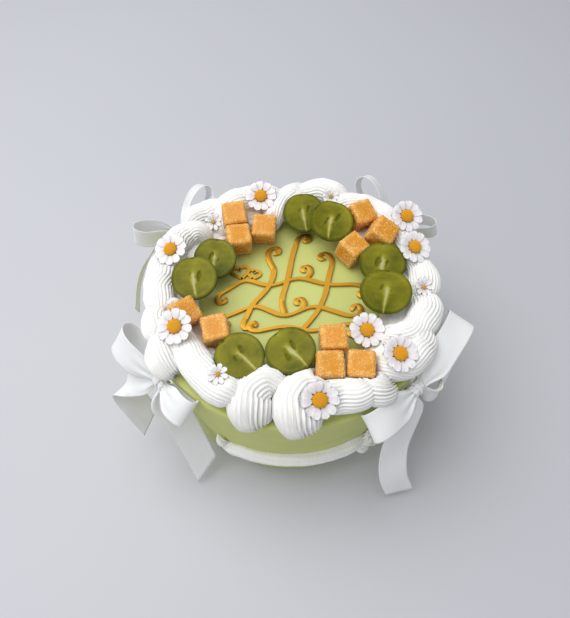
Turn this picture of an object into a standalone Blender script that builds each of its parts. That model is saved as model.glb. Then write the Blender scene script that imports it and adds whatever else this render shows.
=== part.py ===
"""A round cream cake with a piped border, fruit, sugared jelly, daisies, bows and a gilt ornament.

The model is in metres, +Z up. The origin is the centre of the cake's flat underside.
Angles are in degrees round +Z from +X, so -90 is the front of the cake.
"""

import math

import bmesh
import bpy
from mathutils import Matrix, Vector

MM = 0.001
GAP = 0.3 * MM
SAME_POINT = 0.001 * MM
WELD = 0.002 * MM
FLAT_ANGLE = math.radians(0.5)
SHARP_ANGLE = math.radians(40)
CURVE_STEPS = 8

# The cake under its smooth pale green coat.
CAKE_RADIUS_TOP = 100 * MM
CAKE_RADIUS_BASE = 95.5 * MM
CAKE_HEIGHT = 98 * MM
CAKE_EDGE_ROUND = 2.5 * MM
CAKE_EDGE_STEPS = 2
CAKE_FOOT_ROUND = 1.5 * MM
CAKE_SEGMENTS = 48

# The piped border: strokes of a star nozzle that lie on the top, wide end first.
STROKE_SEAT = 0.90
STROKE_FLATNESS = 0.85
STROKE_RIDGES = 6
STROKE_RIDGES_FROM = -30
STROKE_RIDGES_TO = 210
STROKE_SOLE_ANGLES = (245, 295)
STROKE_GROOVE = 0.15
STROKE_STEP = 11.3 * MM
STROKE_TAIL = 13 * MM
STROKE_TAIL_SHARE = 0.30
STROKE_NOSE_STATIONS = (0.1, 0.45, 1.0)
STROKE_NOSE_SEAT = 0.5
STROKE_DROOP_REACH = 1.6
STROKE_TIP = 0.6 * MM

# The low bed of cream under the strokes, which ties them together.
BED_RADIUS = 79 * MM
BED_HALF_WIDTH = 14 * MM
BED_HEIGHT = 8 * MM
BED_WAVE = 1.2 * MM
BED_WAVES = 5
BED_SEGMENTS = 22
BED_SECTION = ((-1.0, -0.1), (-0.80, 0.55), (-0.30, 0.95), (0.30, 1.0), (0.80, 0.60), (1.0, -0.1))

# Halved grapes, cut lengthwise and laid with the cut face up.
GRAPE_DEPTH_SHARE = 0.42
GRAPE_SEGMENTS = 15
GRAPE_SKIN_ANGLES = (60, 25)
GRAPE_SKIN_TOP = 1.0 * MM
GRAPE_FACE_SHARE = 0.97
GRAPE_NOTCH = 0.06
GRAPE_NOTCH_WIDTH = 0.34
GRAPE_SEED_LENGTH_SHARE = 0.26
GRAPE_SEED_WIDTH_SHARE = 0.10
GRAPE_SEED_DEPTH = 1.6 * MM
TOPPING_CLEARANCE = 16 * MM

# Sugared fruit-jelly cubes.
JELLY_SIDE = 17.4 * MM
JELLY_BEVEL = 2.0 * MM

# Daisies: a ring of round-ended petals with a domed yellow boss on it.
DAISY_RADIUS = 11.8 * MM
DAISY_PETALS = 11
DAISY_NOTCH_SHARE = 0.66
PETAL_TIP = 1.02
# A petal's rim: share of its angle, share of the flower's radius and share of the cup's height.
PETAL_RIM = ((0.0, DAISY_NOTCH_SHARE, 0.0), (0.16, 0.93, 0.6), (0.5, PETAL_TIP, 1.0), (0.84, 0.93, 0.6))
FLOWER_ROOM_SIDES = 8
DAISY_CUP = 1.2 * MM
DAISY_THICKNESS = 0.8 * MM
BOSS_RADIUS = 4.9 * MM
BOSS_HEIGHT = 2.4 * MM
BOSS_SIDES = 8
BOSS_OUTLINE = ((1.0, 0.0), (0.86, 0.6))
SMALL_DAISY_RADIUS = 6.5 * MM
SMALL_DAISY_PETALS = 8
SMALL_BOSS_RADIUS = 1.7 * MM
SMALL_BOSS_HEIGHT = 1.4 * MM

# The flat gilt ornament that lies on the top: long vines, scrolls that leave them and two hearts, in mm.
ORNAMENT_THICKNESS = 1.6 * MM
ORNAMENT_LEVEL_STEP = 0.02 * MM
PEN_THIN = 2.1
PEN_SWELL = 2.2
PEN_ANGLE = 20
PEN_CONTRAST = 1.5
VINE_STEPS = 2
SCROLL_STEPS = 5
SCROLL_TURNS = 0.95
SCROLL_CURL = 1.7
SCROLL_STRIDES = (1.35, 0.65)
HEART_BAND = 2.2
HEART_STEPS = 8
VINES = [
    [(-46, 1), (-32, 10), (-14, 6), (6, 12), (26, 7), (44, 7)],
    [(-42, -19), (-24, -12), (-4, -19), (16, -12), (36, -18)],
    [(-20, -31), (-4, -28), (14, -31), (32, -27)],
    [(-15, 27), (-12, 18), (-16, 4), (-26, -10), (-31, -22)],
    [(4, 43), (1, 30), (-2, 12), (-6, -6), (-4, -19)],
    [(30, 24), (27, 12), (24, -2), (18, -16), (8, -30)],
]
# Each scroll: x and y of its foot, its heading there in degrees, its length, and which way it winds.
SCROLLS = [
    (44, 7, -4, 25, -1),
    (-46, 1, 212, 20, 1),
    (-42, -19, 205, 18, 1),
    (36, -18, -18, 25, 1),
    (32, -27, 18, 27, -1),
    (-20, -31, 188, 18, -1),
    (-15, 27, 112, 26, -1),
    (-31, -22, 245, 15, 1),
    (4, 43, 80, 24, -1),
    (30, 24, 82, 24, 1),
    (10, 11.5, 38, 22, 1),
    (4, -16.5, 32, 22, 1),
]
HEARTS = [(-36, 17.5, 6.3, 12), (-26.5, 15.8, 4.6, -14)]

# Satin bows.
RIBBON_WIDTH = 20
RIBBON_THICKNESS = 0.8
RIBBON_OFF_SIDE = 0.7 * MM
RIBBON_EDGES = ((0, 3), (1, 2))
RIBBON_GATHER_WIDTH = 7
RIBBON_GATHER_LENGTH = 17
LOOP_STEPS = 8
LOOP_FULLNESS = 0.75
TAIL_STEPS = 2
NECK_RADIUS = 3.0
NECK_HALF_LENGTH = 5.2
NECK_SIDES = 8
NECK_TURN_SHARE = 0.08
LOOP_LEVELS = (0.53, 0.31)
TAIL_LEVELS = (-0.47, -0.67)
TIE_RADIUS = 4.9
TIE_WIRE_RADIUS = 0.85
TIE_SEGMENTS = 8
TIE_SIDES = 4
TIE_CLEAR = 3.2

# The piped garland and shells round the side.
GARLAND_HEIGHT = 37 * MM
GARLAND_DEPTH = 5.0 * MM
GARLAND_HALF_HEIGHT = 6.5 * MM
GARLAND_TEETH = 1.6 * MM
GARLAND_STEPS = 10
GARLAND_SAG = 5 * MM
GARLAND_RISE = 3 * MM
GARLAND_BEND_SHARE = 0.2
GARLAND_END_SHARE = 0.12
GARLAND_END_HEIGHT = 0.45
GARLAND_END_DEPTH = 0.5
# The band's section, outwards and up, and how low a corner is that the teeth move.
GARLAND_SECTION = ((0.0, 1.0), (0.6, 0.8), (0.5, 0.45), (0.95, 0.1), (0.8, -0.3), (0.9, -0.8), (0.0, -1.0))
GARLAND_TOOTH_LEVEL = -0.6
SHELL_SIDES = 7
SHELL_OUTLINE = ((0.06, 0.45), (0.26, 0.96), (0.52, 0.95), (0.88, 0.32))
SHELL_SEAT = 0.85
SHELL_DEPTH = 0.95

# Each stroke: (radius mm, angle deg) along its axis from the fat end to the tail,
# then its fat and thin radius and how far the fat end droops, in mm.
STROKES = [
    ([(98, -138), (99, -146), (93, -151), (86, -148), (85, -140)], 11.0, 9.0, 2),
    ([(87, -158), (84, -146), (85, -132), (89, -119), (88, -104)], 11.0, 12.5, 0),
    ([(101, -102), (93, -105), (83, -107), (74, -101), (76, -91)], 17.0, 9.5, 11),
    ([(103, -85), (94, -87), (84, -88), (76, -82), (80, -72)], 17.5, 9.5, 11),
    ([(82, -80), (86, -71), (90, -63), (92, -54)], 12.5, 10.0, 0),
    ([(98, -50), (95, -54), (89, -58), (80, -60), (70, -62)], 12.0, 9.0, 2),
    ([(93, -22), (95, -31), (93, -40), (84, -46), (74, -48)], 11.5, 9.5, 2),
    ([(92, -4), (92, -15), (87, -25), (78, -31), (66, -30)], 12.5, 9.0, 2),
    ([(91, -6), (93, 4), (90, 13), (79, 18)], 11.5, 9.0, 2),
    ([(89, 11), (92, 22), (90, 32), (78, 38)], 12.0, 9.0, 1),
    ([(91, 31), (93, 44), (90, 55), (83, 63), (73, 69)], 12.0, 9.5, 1),
    ([(92, 62), (92, 73), (85, 84), (73, 90)], 12.5, 9.5, 3),
    ([(91, 80), (83, 90), (71, 98), (58, 103)], 11.5, 9.5, 1),
    ([(83, 94), (87, 108), (88, 120), (84, 133)], 11.5, 10.0, 0),
    ([(92, 146), (93, 137), (89, 129), (79, 129), (71, 137)], 11.5, 9.5, 1),
    ([(91, 162), (90, 152), (83, 145), (72, 144)], 11.5, 9.5, 1),
    ([(88, 156), (90, 170), (90, -176), (88, -161)], 11.5, 10.5, 0),
    ([(93, -152), (93, -162), (87, -167), (79, -163), (76, -153)], 11.0, 9.5, 1),
]

# Each grape half: x and y of the cut face's centre, its height over the cake's top, its length and
# width, all in mm, then how far its face leans to +X and +Y, and the angle of its stem end in degrees.
GRAPES = [
    (10.0, 62.0, 16.0, 30.0, 30.5, 0.05, -0.48, 95),
    (29.7, 47.8, 22.8, 30.5, 31.5, 0.10, -0.42, 78),
    (63.8, 14.4, 16.4, 30.0, 32.5, -0.06, -0.46, 88),
    (62.3, -13.4, 22.4, 30.5, 34.5, -0.02, -0.40, 84),
    (-32.2, -57.2, 15.7, 31.5, 31.5, 0.04, -0.14, 140),
    (-0.6, -53.7, 16.4, 31.5, 32.5, 0.00, -0.12, 132),
    (-53.1, 19.5, 15.5, 29.5, 30.0, -0.04, -0.44, 80),
    (-64.5, -2.6, 22.7, 30.0, 31.0, -0.04, -0.42, 95),
]

# Each jelly cube: x and y of its centre and its height over the cake's top in mm,
# then its turns about X, Y and Z in degrees.
JELLIES = [
    (-40.6, 58.7, 15.0, 20, -6, 8),
    (-37.8, 40.2, 10.4, 8, 4, 12),
    (-19.4, 49.6, 11.2, 18, 4, -4),
    (51.6, 58.7, 15.6, 20, 8, 30),
    (65.2, 40.1, 17.6, 24, -8, 60),
    (44.2, 30.9, 10.7, 12, 4, 44),
    (-69.7, -26.7, 14.7, 22, 6, 38),
    (-48.8, -36.4, 10.7, 12, -4, 12),
    (26.8, -43.8, 9.8, 4, 0, 3),
    (23.5, -63.5, 12.0, 9, 3, 2),
    (43.2, -63.0, 12.0, 9, -3, -4),
]

# Each daisy: x and y of its centre and its height over the cake's top in mm,
# then how far it leans to +X and +Y, and its turn in degrees.
DAISIES = [
    (-22.2, 76.1, 18.1, -0.05, -0.40, 10),
    (-83.2, 22.6, 20.8, -0.22, -0.32, 25),
    (-73.2, -40.1, 22.0, -0.16, -0.38, 5),
    (84.0, 52.9, 21.4, 0.14, -0.46, 0),
    (85.9, 24.7, 20.9, 0.26, -0.34, 15),
    (49.3, -35.9, 10.2, 0.06, -0.30, 20),
    (66.4, -58.0, 19.4, 0.24, -0.30, 8),
    (16.3, -87.6, 18.1, 0.10, -0.62, 14),
]
SMALL_DAISIES = [
    (-56.8, 54.8, 13.0, -0.10, -0.58, 0),
    (30.5, 76.5, 17.0, 0.10, -0.38, 12),
    (89.9, -4.4, 13.7, 0.20, -0.40, 20),
    (-44.0, -72.4, 20.5, -0.10, -0.34, 7),
]

# Each bow has the angle, radius and height of its knot, then its loops and its tails.
# All its directions are (outward, along, up), where along runs counter-clockwise, and lengths are in mm.
# A loop: side of the knot, length, opening, its direction and the direction of the ribbon's width.
# A tail: side of the knot, points from the knot on, the width's direction at each, and the end's slant.
BOWS = [
    {
        "knot": (-142.5, 106.2, 91.5),
        "loops": [
            (-1, 40, 14, (0.10, -0.97, 0.22), (0.56, 0.15, -0.81)),
            (1, 29, 9, (-0.06, 0.97, 0.12), (0.70, -0.10, -0.70)),
        ],
        "tails": [
            (-1, [(9, -10, -5), (18, -19, -11), (21, -19, -22), (20, -13, -36), (18, -5, -54)],
             [(0.6, 0.3, -0.7), (0.75, 0.2, -0.6), (0.9, 0.1, -0.3), (0.97, 0.0, 0.0),
              (0.97, -0.1, 0.1)], 16),
            (1, [(5, 8, -11), (2, 16, -26), (2, 26, -47), (3, 42, -78)],
             [(0.9, -0.1, 0.0), (1.0, -0.1, 0.0), (0.97, -0.2, -0.2), (0.95, -0.22, -0.24)], 17),
        ],
    },
    {
        "knot": (-41, 106.2, 91.5),
        "loops": [
            (1, 58, 14, (-0.10, 0.98, 0.10), (0.93, 0.20, -0.30)),
            (-1, 41, 11, (-0.16, -0.98, 0.09), (0.80, -0.05, -0.60)),
        ],
        "tails": [
            (-1, [(6, -10, -12), (10, -27, -34), (19, -35, -59), (29, -34, -84)],
             [(0.2, 0.9, 0.2), (0.5, 0.8, 0.1), (0.6, 0.8, 0.0), (0.66, 0.75, 0.0)], 4),
            (1, [(9, 10, -9), (9, 26, -17), (8, 43, -22)],
             [(0.1, 0.3, -0.9), (0.1, 0.3, -0.95), (0.1, 0.3, -0.95)], 8),
        ],
    },
    {
        "knot": (43, 106.2, 91.5),
        "loops": [
            (1, 38, 13, (0.10, 0.86, 0.50), (0.78, 0.24, -0.58)),
            (-1, 34, 9, (0.50, -0.84, 0.18), (0.40, 0.00, -0.92)),
        ],
        "tails": [
            (-1, [(8, -11, -10), (15, -22, -34), (22, -30, -60), (26, -34, -82)],
             [(0.2, 0.9, 0.2), (0.4, 0.9, 0.1), (0.3, 0.9, 0.0), (0.3, 0.9, 0.0)], 12),
            (1, [(9, 14, -9), (14, 22, -32), (20, 29, -56)],
             [(-0.2, 0.9, 0.2), (-0.4, 0.9, 0.1), (-0.3, 0.9, 0.0)], 12),
        ],
    },
    {
        "knot": (143, 106.2, 91.5),
        "loops": [
            (-1, 37, 12, (0.07, -0.89, 0.46), (0.74, -0.26, -0.62)),
            (1, 33, 9, (0.62, 0.75, 0.20), (-0.40, -0.30, 0.86)),
        ],
        "tails": [
            (1, [(10, 13, -9), (15, 28, -20), (12, 44, -32), (6, 58, -50)],
             [(0.4, -0.4, -0.8), (0.5, -0.5, -0.7), (0.5, -0.5, -0.7), (0.4, -0.5, -0.7)], 10),
            (-1, [(8, -9, -10), (13, -20, -34), (19, -28, -60), (23, -31, -80)],
             [(0.2, 0.9, 0.2), (0.4, 0.9, 0.1), (0.3, 0.9, 0.0), (0.3, 0.9, 0.0)], 12),
        ],
    },
]

# Each garland: its first and last angle, then its shells as (angle, height mm, length mm, width mm,
# lean deg).
GARLANDS = [
    (-121, -58, [(-119.0, 43, 18, 9, -40), (-59, 38, 24, 12, -12), (-53.5, 41, 24, 12, 12)]),
    (-29, 29, [(-29, 43, 20, 10, 12), (30, 38, 22, 12, -12)]),
    (61, 119, [(61, 43, 20, 10, 12), (120, 38, 22, 12, -12)]),
    (161, 209, [(161, 43, 20, 10, 12), (210, 38, 22, 12, -12)]),
]


def clear_scene():
    """Remove what the scene holds."""
    for obj in list(bpy.data.objects):
        bpy.data.objects.remove(obj, do_unlink=True)


def make_material(name, colour, roughness, metallic=0.0):
    """Principled material of one colour."""
    material = bpy.data.materials.new(name)
    material.use_nodes = True
    shader = material.node_tree.nodes["Principled BSDF"]
    shader.inputs["Base Color"].default_value = (*colour, 1.0)
    shader.inputs["Roughness"].default_value = roughness
    shader.inputs["Metallic"].default_value = metallic
    material.diffuse_color = (*colour, 1.0)
    return material


def new_object(name, verts, faces, material=None):
    """Object with a mesh of these vertices and faces, its faces turned outwards."""
    mesh = bpy.data.meshes.new(name)
    mesh.from_pydata([tuple(v) for v in verts], [], faces)
    bm = bmesh.new()
    bm.from_mesh(mesh)
    bmesh.ops.remove_doubles(bm, verts=bm.verts, dist=SAME_POINT)
    bmesh.ops.recalc_face_normals(bm, faces=bm.faces)
    bm.to_mesh(mesh)
    bm.free()
    if material:
        mesh.materials.append(material)
    mesh.shade_smooth()
    mesh.set_sharp_from_angle(angle=SHARP_ANGLE)
    obj = bpy.data.objects.new(name, mesh)
    bpy.context.scene.collection.objects.link(obj)
    return obj


def bake_modifiers(obj):
    """Replace the object's mesh by its evaluated one."""
    depsgraph = bpy.context.evaluated_depsgraph_get()
    old = obj.data
    mesh = bpy.data.meshes.new_from_object(obj.evaluated_get(depsgraph))
    bm = bmesh.new()
    bm.from_mesh(mesh)
    bmesh.ops.remove_doubles(bm, verts=bm.verts, dist=WELD)
    bmesh.ops.dissolve_limit(bm, angle_limit=FLAT_ANGLE, verts=bm.verts, edges=bm.edges)
    bmesh.ops.triangulate(bm, faces=bm.faces)
    bm.to_mesh(mesh)
    bm.free()
    obj.modifiers.clear()
    obj.data = mesh
    mesh.name = obj.name
    bpy.data.meshes.remove(old)


def combine(obj, others, operation):
    """Join others to obj, or cut them from it, by one Boolean on a collection."""
    group = bpy.data.collections.new(obj.name + "_group")
    bpy.context.scene.collection.children.link(group)
    for other in others:
        group.objects.link(other)
        bpy.context.scene.collection.objects.unlink(other)
    boolean = obj.modifiers.new("combine", "BOOLEAN")
    boolean.operation = operation
    boolean.operand_type = "COLLECTION"
    boolean.collection = group
    boolean.solver = "EXACT"
    boolean.use_self = True
    bpy.context.view_layer.update()
    bake_modifiers(obj)
    for other in list(group.objects):
        bpy.data.objects.remove(other, do_unlink=True)
    bpy.data.collections.remove(group)


def polar(radius, degrees, height=0.0):
    """Point at a radius and an angle round the cake's axis."""
    angle = math.radians(degrees)
    return Vector((radius * math.cos(angle), radius * math.sin(angle), height))


def blend(low, high, share):
    """Value between low and high."""
    return low + (high - low) * share


def smooth_step(share):
    """Ease from 0 to 1."""
    share = min(max(share, 0.0), 1.0)
    return share * share * (3 - 2 * share)


def spline(points, steps):
    """Points on a Catmull-Rom curve through the given ones."""
    ends = [points[0] * 2 - points[1]] + list(points) + [points[-1] * 2 - points[-2]]
    curve = []
    for i in range(len(points) - 1):
        a, b, c, d = ends[i:i + 4]
        for k in range(steps):
            t = k / steps
            curve.append((b * 2 + (c - a) * t + (a * 2 - b * 5 + c * 4 - d) * t * t
                          + (b * 3 - a - c * 3 + d) * t ** 3) * 0.5)
    curve.append(points[-1].copy())
    return curve


def spread(curve, stations):
    """Points at the given lengths along a polyline."""
    lengths = [0.0]
    for a, b in zip(curve, curve[1:]):
        lengths.append(lengths[-1] + (b - a).length)
    result = []
    for station in stations:
        i = 0
        while i < len(curve) - 2 and lengths[i + 1] < station:
            i += 1
        span = max(lengths[i + 1] - lengths[i], 1e-9)
        result.append(curve[i].lerp(curve[i + 1], (station - lengths[i]) / span))
    return result


def polyline_length(curve):
    """Length of a polyline."""
    return sum((b - a).length for a, b in zip(curve, curve[1:]))


def loft(rings, start=None, end=None):
    """Vertices and faces of a skin over closed rings, each end a point or a flat cap."""
    count = len(rings[0])
    verts = [v for ring in rings for v in ring]
    faces = []
    for i in range(len(rings) - 1):
        for k in range(count):
            n = (k + 1) % count
            faces.append((i * count + k, i * count + n, (i + 1) * count + n, (i + 1) * count + k))
    last = (len(rings) - 1) * count
    if start is None:
        faces.append(tuple(reversed(range(count))))
    else:
        verts.append(start)
        faces += [(len(verts) - 1, (k + 1) % count, k) for k in range(count)]
    if end is None:
        faces.append(tuple(range(last, last + count)))
    else:
        verts.append(end)
        faces += [(len(verts) - 1, last + k, last + (k + 1) % count) for k in range(count)]
    return verts, faces


def side_radius(height):
    """Radius of the cake's side at a height."""
    return blend(CAKE_RADIUS_BASE, CAKE_RADIUS_TOP, height / CAKE_HEIGHT)


def cake_solid(name, grow, material=None):
    """Turned body of the cake, with a crisp round top edge."""
    top = CAKE_HEIGHT + grow
    rim = CAKE_RADIUS_TOP + grow
    foot = CAKE_RADIUS_BASE + grow
    profile = [(foot - CAKE_FOOT_ROUND, 0.0), (foot, CAKE_FOOT_ROUND)]
    for k in range(CAKE_EDGE_STEPS + 1):
        turn = math.radians(90 * k / CAKE_EDGE_STEPS)
        inset = CAKE_EDGE_ROUND * (1 - math.cos(turn))
        drop = CAKE_EDGE_ROUND * (1 - math.sin(turn))
        profile.append((rim - inset, top - drop))
    rings = []
    for radius, height in profile:
        rings.append([polar(radius, 360 * k / CAKE_SEGMENTS, height) for k in range(CAKE_SEGMENTS)])
    verts, faces = loft(rings, Vector((0, 0, 0)), Vector((0, 0, top)))
    return new_object(name, verts, faces, material)


def stroke_radius(along, length, fat, thin):
    """Radius of a piped stroke at a distance along it: round nose, slow taper, drawn-out tail."""
    nose = math.sqrt(max(1 - (1 - min(along / fat, 1.0)) ** 2, 0.0))
    body = blend(fat, thin, smooth_step(along / length))
    left = min((length - along) / STROKE_TAIL, 1.0)
    return nose * body * blend(STROKE_TAIL_SHARE, 1.0, math.sin(left * math.pi / 2))


def stroke_outline():
    """Unit section of a stroke: ridges and grooves over its back, a plain sole."""
    steps = 2 * (STROKE_RIDGES - 1)
    outline = []
    for k in range(steps + 1):
        turn = math.radians(blend(STROKE_RIDGES_FROM, STROKE_RIDGES_TO, k / steps))
        reach = 1 - STROKE_GROOVE * (k % 2)
        outline.append((reach * math.cos(turn), reach * math.sin(turn)))
    for degrees in STROKE_SOLE_ANGLES:
        outline.append((math.cos(math.radians(degrees)), math.sin(math.radians(degrees))))
    return outline


def stroke_solid(name, points, fat, thin, droop):
    """Fluted stroke of cream along a curve on the cake's top."""
    fat *= MM
    thin *= MM
    droop *= MM
    curve = spline([polar(radius * MM, degrees) for radius, degrees in points], CURVE_STEPS)
    length = polyline_length(curve)
    stations = [fat * share for share in STROKE_NOSE_STATIONS]
    middle = max(round((length - fat) / STROKE_STEP), 2)
    stations += [fat + (length - fat) * (k + 1) / middle for k in range(middle)]
    stations[-1] = length - STROKE_TIP
    axis = spread(curve, stations)
    outline = stroke_outline()
    rings = []
    for i, (centre, along) in enumerate(zip(axis, stations)):
        ahead = axis[min(i + 1, len(axis) - 1)] - axis[max(i - 1, 0)]
        side = Vector((ahead.y, -ahead.x, 0)).normalized()
        radius = stroke_radius(along, length, fat, thin)
        tall = radius * blend(STROKE_FLATNESS, 1.0, smooth_step(along / length))
        hang = droop * (1 - smooth_step(along / (STROKE_DROOP_REACH * fat)))
        seat = STROKE_SEAT * (max(tall, STROKE_NOSE_SEAT * fat) if along < fat else tall)
        middle_point = Vector((centre.x, centre.y, CAKE_HEIGHT + seat - hang))
        rings.append([middle_point + side * (radius * x) + Vector((0, 0, tall * z)) for x, z in outline])
    start = sum(rings[0], Vector()) / len(outline)
    end = sum(rings[-1], Vector()) / len(outline)
    verts, faces = loft(rings, start, end)
    return new_object(name, verts, faces)


def bed_solid(name):
    """Low uneven ring of cream on the cake's top."""
    verts = []
    for i in range(BED_SEGMENTS):
        turn = 360 * i / BED_SEGMENTS
        radius = BED_RADIUS + BED_WAVE * math.sin(math.radians(BED_WAVES * turn))
        for across, up in BED_SECTION:
            verts.append(polar(radius + BED_HALF_WIDTH * across, turn, CAKE_HEIGHT + BED_HEIGHT * up))
    count = len(BED_SECTION)
    faces = []
    for i in range(BED_SEGMENTS):
        n = (i + 1) % BED_SEGMENTS
        for k in range(count):
            j = (k + 1) % count
            faces.append((i * count + k, i * count + j, n * count + j, n * count + k))
    return new_object(name, verts, faces)


def lean_matrix(lean_x, lean_y, turn):
    """Rotation that leans +Z towards (lean_x, lean_y, 1) after a turn about +Z."""
    normal = Vector((lean_x, lean_y, 1.0)).normalized()
    tilt = Vector((0, 0, 1)).rotation_difference(normal).to_matrix().to_4x4()
    return tilt @ Matrix.Rotation(math.radians(turn), 4, "Z")


def place(obj, x, y, height, rotation):
    """Put an object's mesh at a place in mm over the cake's top."""
    obj.data.transform(Matrix.Translation((x * MM, y * MM, CAKE_HEIGHT + height * MM)) @ rotation)
    return obj


def grape_outline(turn):
    """Share of the radius of a grape's cut face at an angle, notched at the stem end."""
    off = (turn + math.pi) % (2 * math.pi) - math.pi
    return 1 - GRAPE_NOTCH * math.exp(-(off / GRAPE_NOTCH_WIDTH) ** 2)


def grape_solid(name, length, width, grow=0.0, material=None):
    """Half a grape, cut face up, with the hollow its seed leaves; or its clearance if grow is given."""
    half_length = length * MM / 2 + grow
    half_width = width * MM / 2 + grow
    depth = width * MM * GRAPE_DEPTH_SHARE + grow

    def ring(share, height):
        points = []
        for k in range(GRAPE_SEGMENTS):
            turn = 2 * math.pi * k / GRAPE_SEGMENTS
            reach = share * grape_outline(turn)
            along = half_length * reach * math.cos(turn)
            across = half_width * reach * math.sin(turn)
            points.append(Vector((along, across, height)))
        return points

    rings = []
    for degrees in GRAPE_SKIN_ANGLES:
        rings.append(ring(math.cos(math.radians(degrees)), -depth * math.sin(math.radians(degrees))))
    rings.append(ring(1.0, -GRAPE_SKIN_TOP))
    if grow:
        rings.append(ring(1.0, TOPPING_CLEARANCE))
        verts, faces = loft(rings, Vector((0, 0, -depth)))
        return new_object(name, verts, faces)
    rings.append(ring(GRAPE_FACE_SHARE, 0.0))
    seed = []
    for k in range(GRAPE_SEGMENTS):
        turn = 2 * math.pi * k / GRAPE_SEGMENTS
        seed.append(Vector((length * MM * GRAPE_SEED_LENGTH_SHARE * math.cos(turn),
                            width * MM * GRAPE_SEED_WIDTH_SHARE * math.sin(turn), 0.0)))
    rings.append(seed)
    verts, faces = loft(rings, Vector((0, 0, -depth)), Vector((0, 0, -GRAPE_SEED_DEPTH)))
    return new_object(name, verts, faces, material)


def jelly_solid(name, grow=0.0, material=None):
    """Cube of sugared jelly with soft edges, or its clearance if grow is given."""
    bm = bmesh.new()
    bmesh.ops.create_cube(bm, size=JELLY_SIDE + 2 * grow)
    if grow:
        for vert in bm.verts:
            if vert.co.z > 0:
                vert.co.z += TOPPING_CLEARANCE
    else:
        bmesh.ops.bevel(bm, geom=bm.edges[:], offset=JELLY_BEVEL, segments=1, affect="EDGES")
    mesh = bpy.data.meshes.new(name)
    bm.to_mesh(mesh)
    bm.free()
    if material:
        mesh.materials.append(material)
        mesh.shade_smooth()
        mesh.set_sharp_from_angle(angle=SHARP_ANGLE)
    obj = bpy.data.objects.new(name, mesh)
    bpy.context.scene.collection.objects.link(obj)
    return obj


def daisy_solid(name, radius, petals, boss_radius, boss_height, material):
    """Flower with round-ended petals, its two faces triangulated alike; a boss raises its middle."""
    rim = []
    for petal in range(petals):
        for share, reach, cup in PETAL_RIM:
            turn = 2 * math.pi * (petal + share) / petals
            out = radius * reach
            rim.append(Vector((out * math.cos(turn), out * math.sin(turn), DAISY_CUP * cup)))
    inner = []
    for petal in range(petals):
        turn = 2 * math.pi * petal / petals
        inner.append(Vector((boss_radius * math.cos(turn), boss_radius * math.sin(turn), 0.0)))
    top = rim + inner + [Vector((0, 0, boss_height))]
    low = rim + inner + [Vector((0, 0, 0))]
    lift = Vector((0, 0, DAISY_THICKNESS))
    verts = [v + lift for v in top] + list(low)
    size = len(top)
    step = len(PETAL_RIM)
    faces = []
    for petal in range(petals):
        following = (petal + 1) % petals
        first = petal * step
        loop = [first + k for k in range(step)] + [following * step]
        hub = len(rim) + petal
        hub_next = len(rim) + following
        sheet = [(loop[0], loop[1], loop[3]), (loop[0], loop[3], loop[4]), (loop[1], loop[2], loop[3]),
                 (hub, loop[0], loop[4]), (hub, loop[4], hub_next), (hub, hub_next, size - 1)]
        for tri in sheet:
            faces.append(tri)
            faces.append(tuple(size + v for v in reversed(tri)))
        for a, b in zip(loop, loop[1:]):
            faces.append((a, size + a, size + b, b))
    return new_object(name, verts, faces, material)


def flower_room(radius):
    """Upright prism round a flower, which keeps the cream off it."""
    reach = (radius + GAP) / math.cos(math.pi / FLOWER_ROOM_SIDES)
    rings = []
    for height in (-GAP, TOPPING_CLEARANCE):
        rings.append([polar(reach, 360 * k / FLOWER_ROOM_SIDES, height) for k in range(FLOWER_ROOM_SIDES)])
    verts, faces = loft(rings)
    return new_object("daisy_room", verts, faces)


def boss_solid(name, material):
    """Domed yellow middle of a daisy."""
    rings = []
    for share, height in BOSS_OUTLINE:
        rings.append([polar(BOSS_RADIUS * share, 360 * k / BOSS_SIDES, BOSS_HEIGHT * height)
                      for k in range(BOSS_SIDES)])
    verts, faces = loft(rings, None, Vector((0, 0, BOSS_HEIGHT)))
    return new_object(name, verts, faces, material)


def pen_width(line, i):
    """Width of a broad pen's stroke at a point of a line."""
    ahead = line[min(i + 1, len(line) - 1)] - line[max(i - 1, 0)]
    heading = math.atan2(ahead.y, ahead.x) - math.radians(PEN_ANGLE)
    return PEN_THIN + PEN_SWELL * abs(math.sin(heading)) ** PEN_CONTRAST


def band_ring(line, i, width, level, closed):
    """Rectangular section of a flat band at a point of its line in mm."""
    count = len(line)
    after = line[(i + 1) % count] if closed else line[min(i + 1, count - 1)]
    before = line[i - 1] if closed else line[max(i - 1, 0)]
    side = Vector((before.y - after.y, after.x - before.x, 0)).normalized() * (width / 2)
    half = ORNAMENT_THICKNESS / 2 - level * ORNAMENT_LEVEL_STEP
    corners = ((1, 1), (-1, 1), (-1, -1), (1, -1))
    return [(line[i] + side * sign) * MM + Vector((0, 0, up * half)) for sign, up in corners]


def open_band(name, line, level):
    """Flat band along an open line in mm."""
    verts, faces = loft([band_ring(line, i, pen_width(line, i), level, False) for i in range(len(line))])
    return new_object(name, verts, faces)


def closed_band(name, line, level):
    """Flat band along a closed line in mm."""
    count = len(line)
    rings = [band_ring(line, i, HEART_BAND, level, True) for i in range(count)]
    verts = [v for ring in rings for v in ring]
    faces = []
    for i in range(count):
        n = (i + 1) % count
        for k in range(4):
            j = (k + 1) % 4
            faces.append((i * 4 + k, i * 4 + j, n * 4 + j, n * 4 + k))
    return new_object(name, verts, faces)


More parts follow.
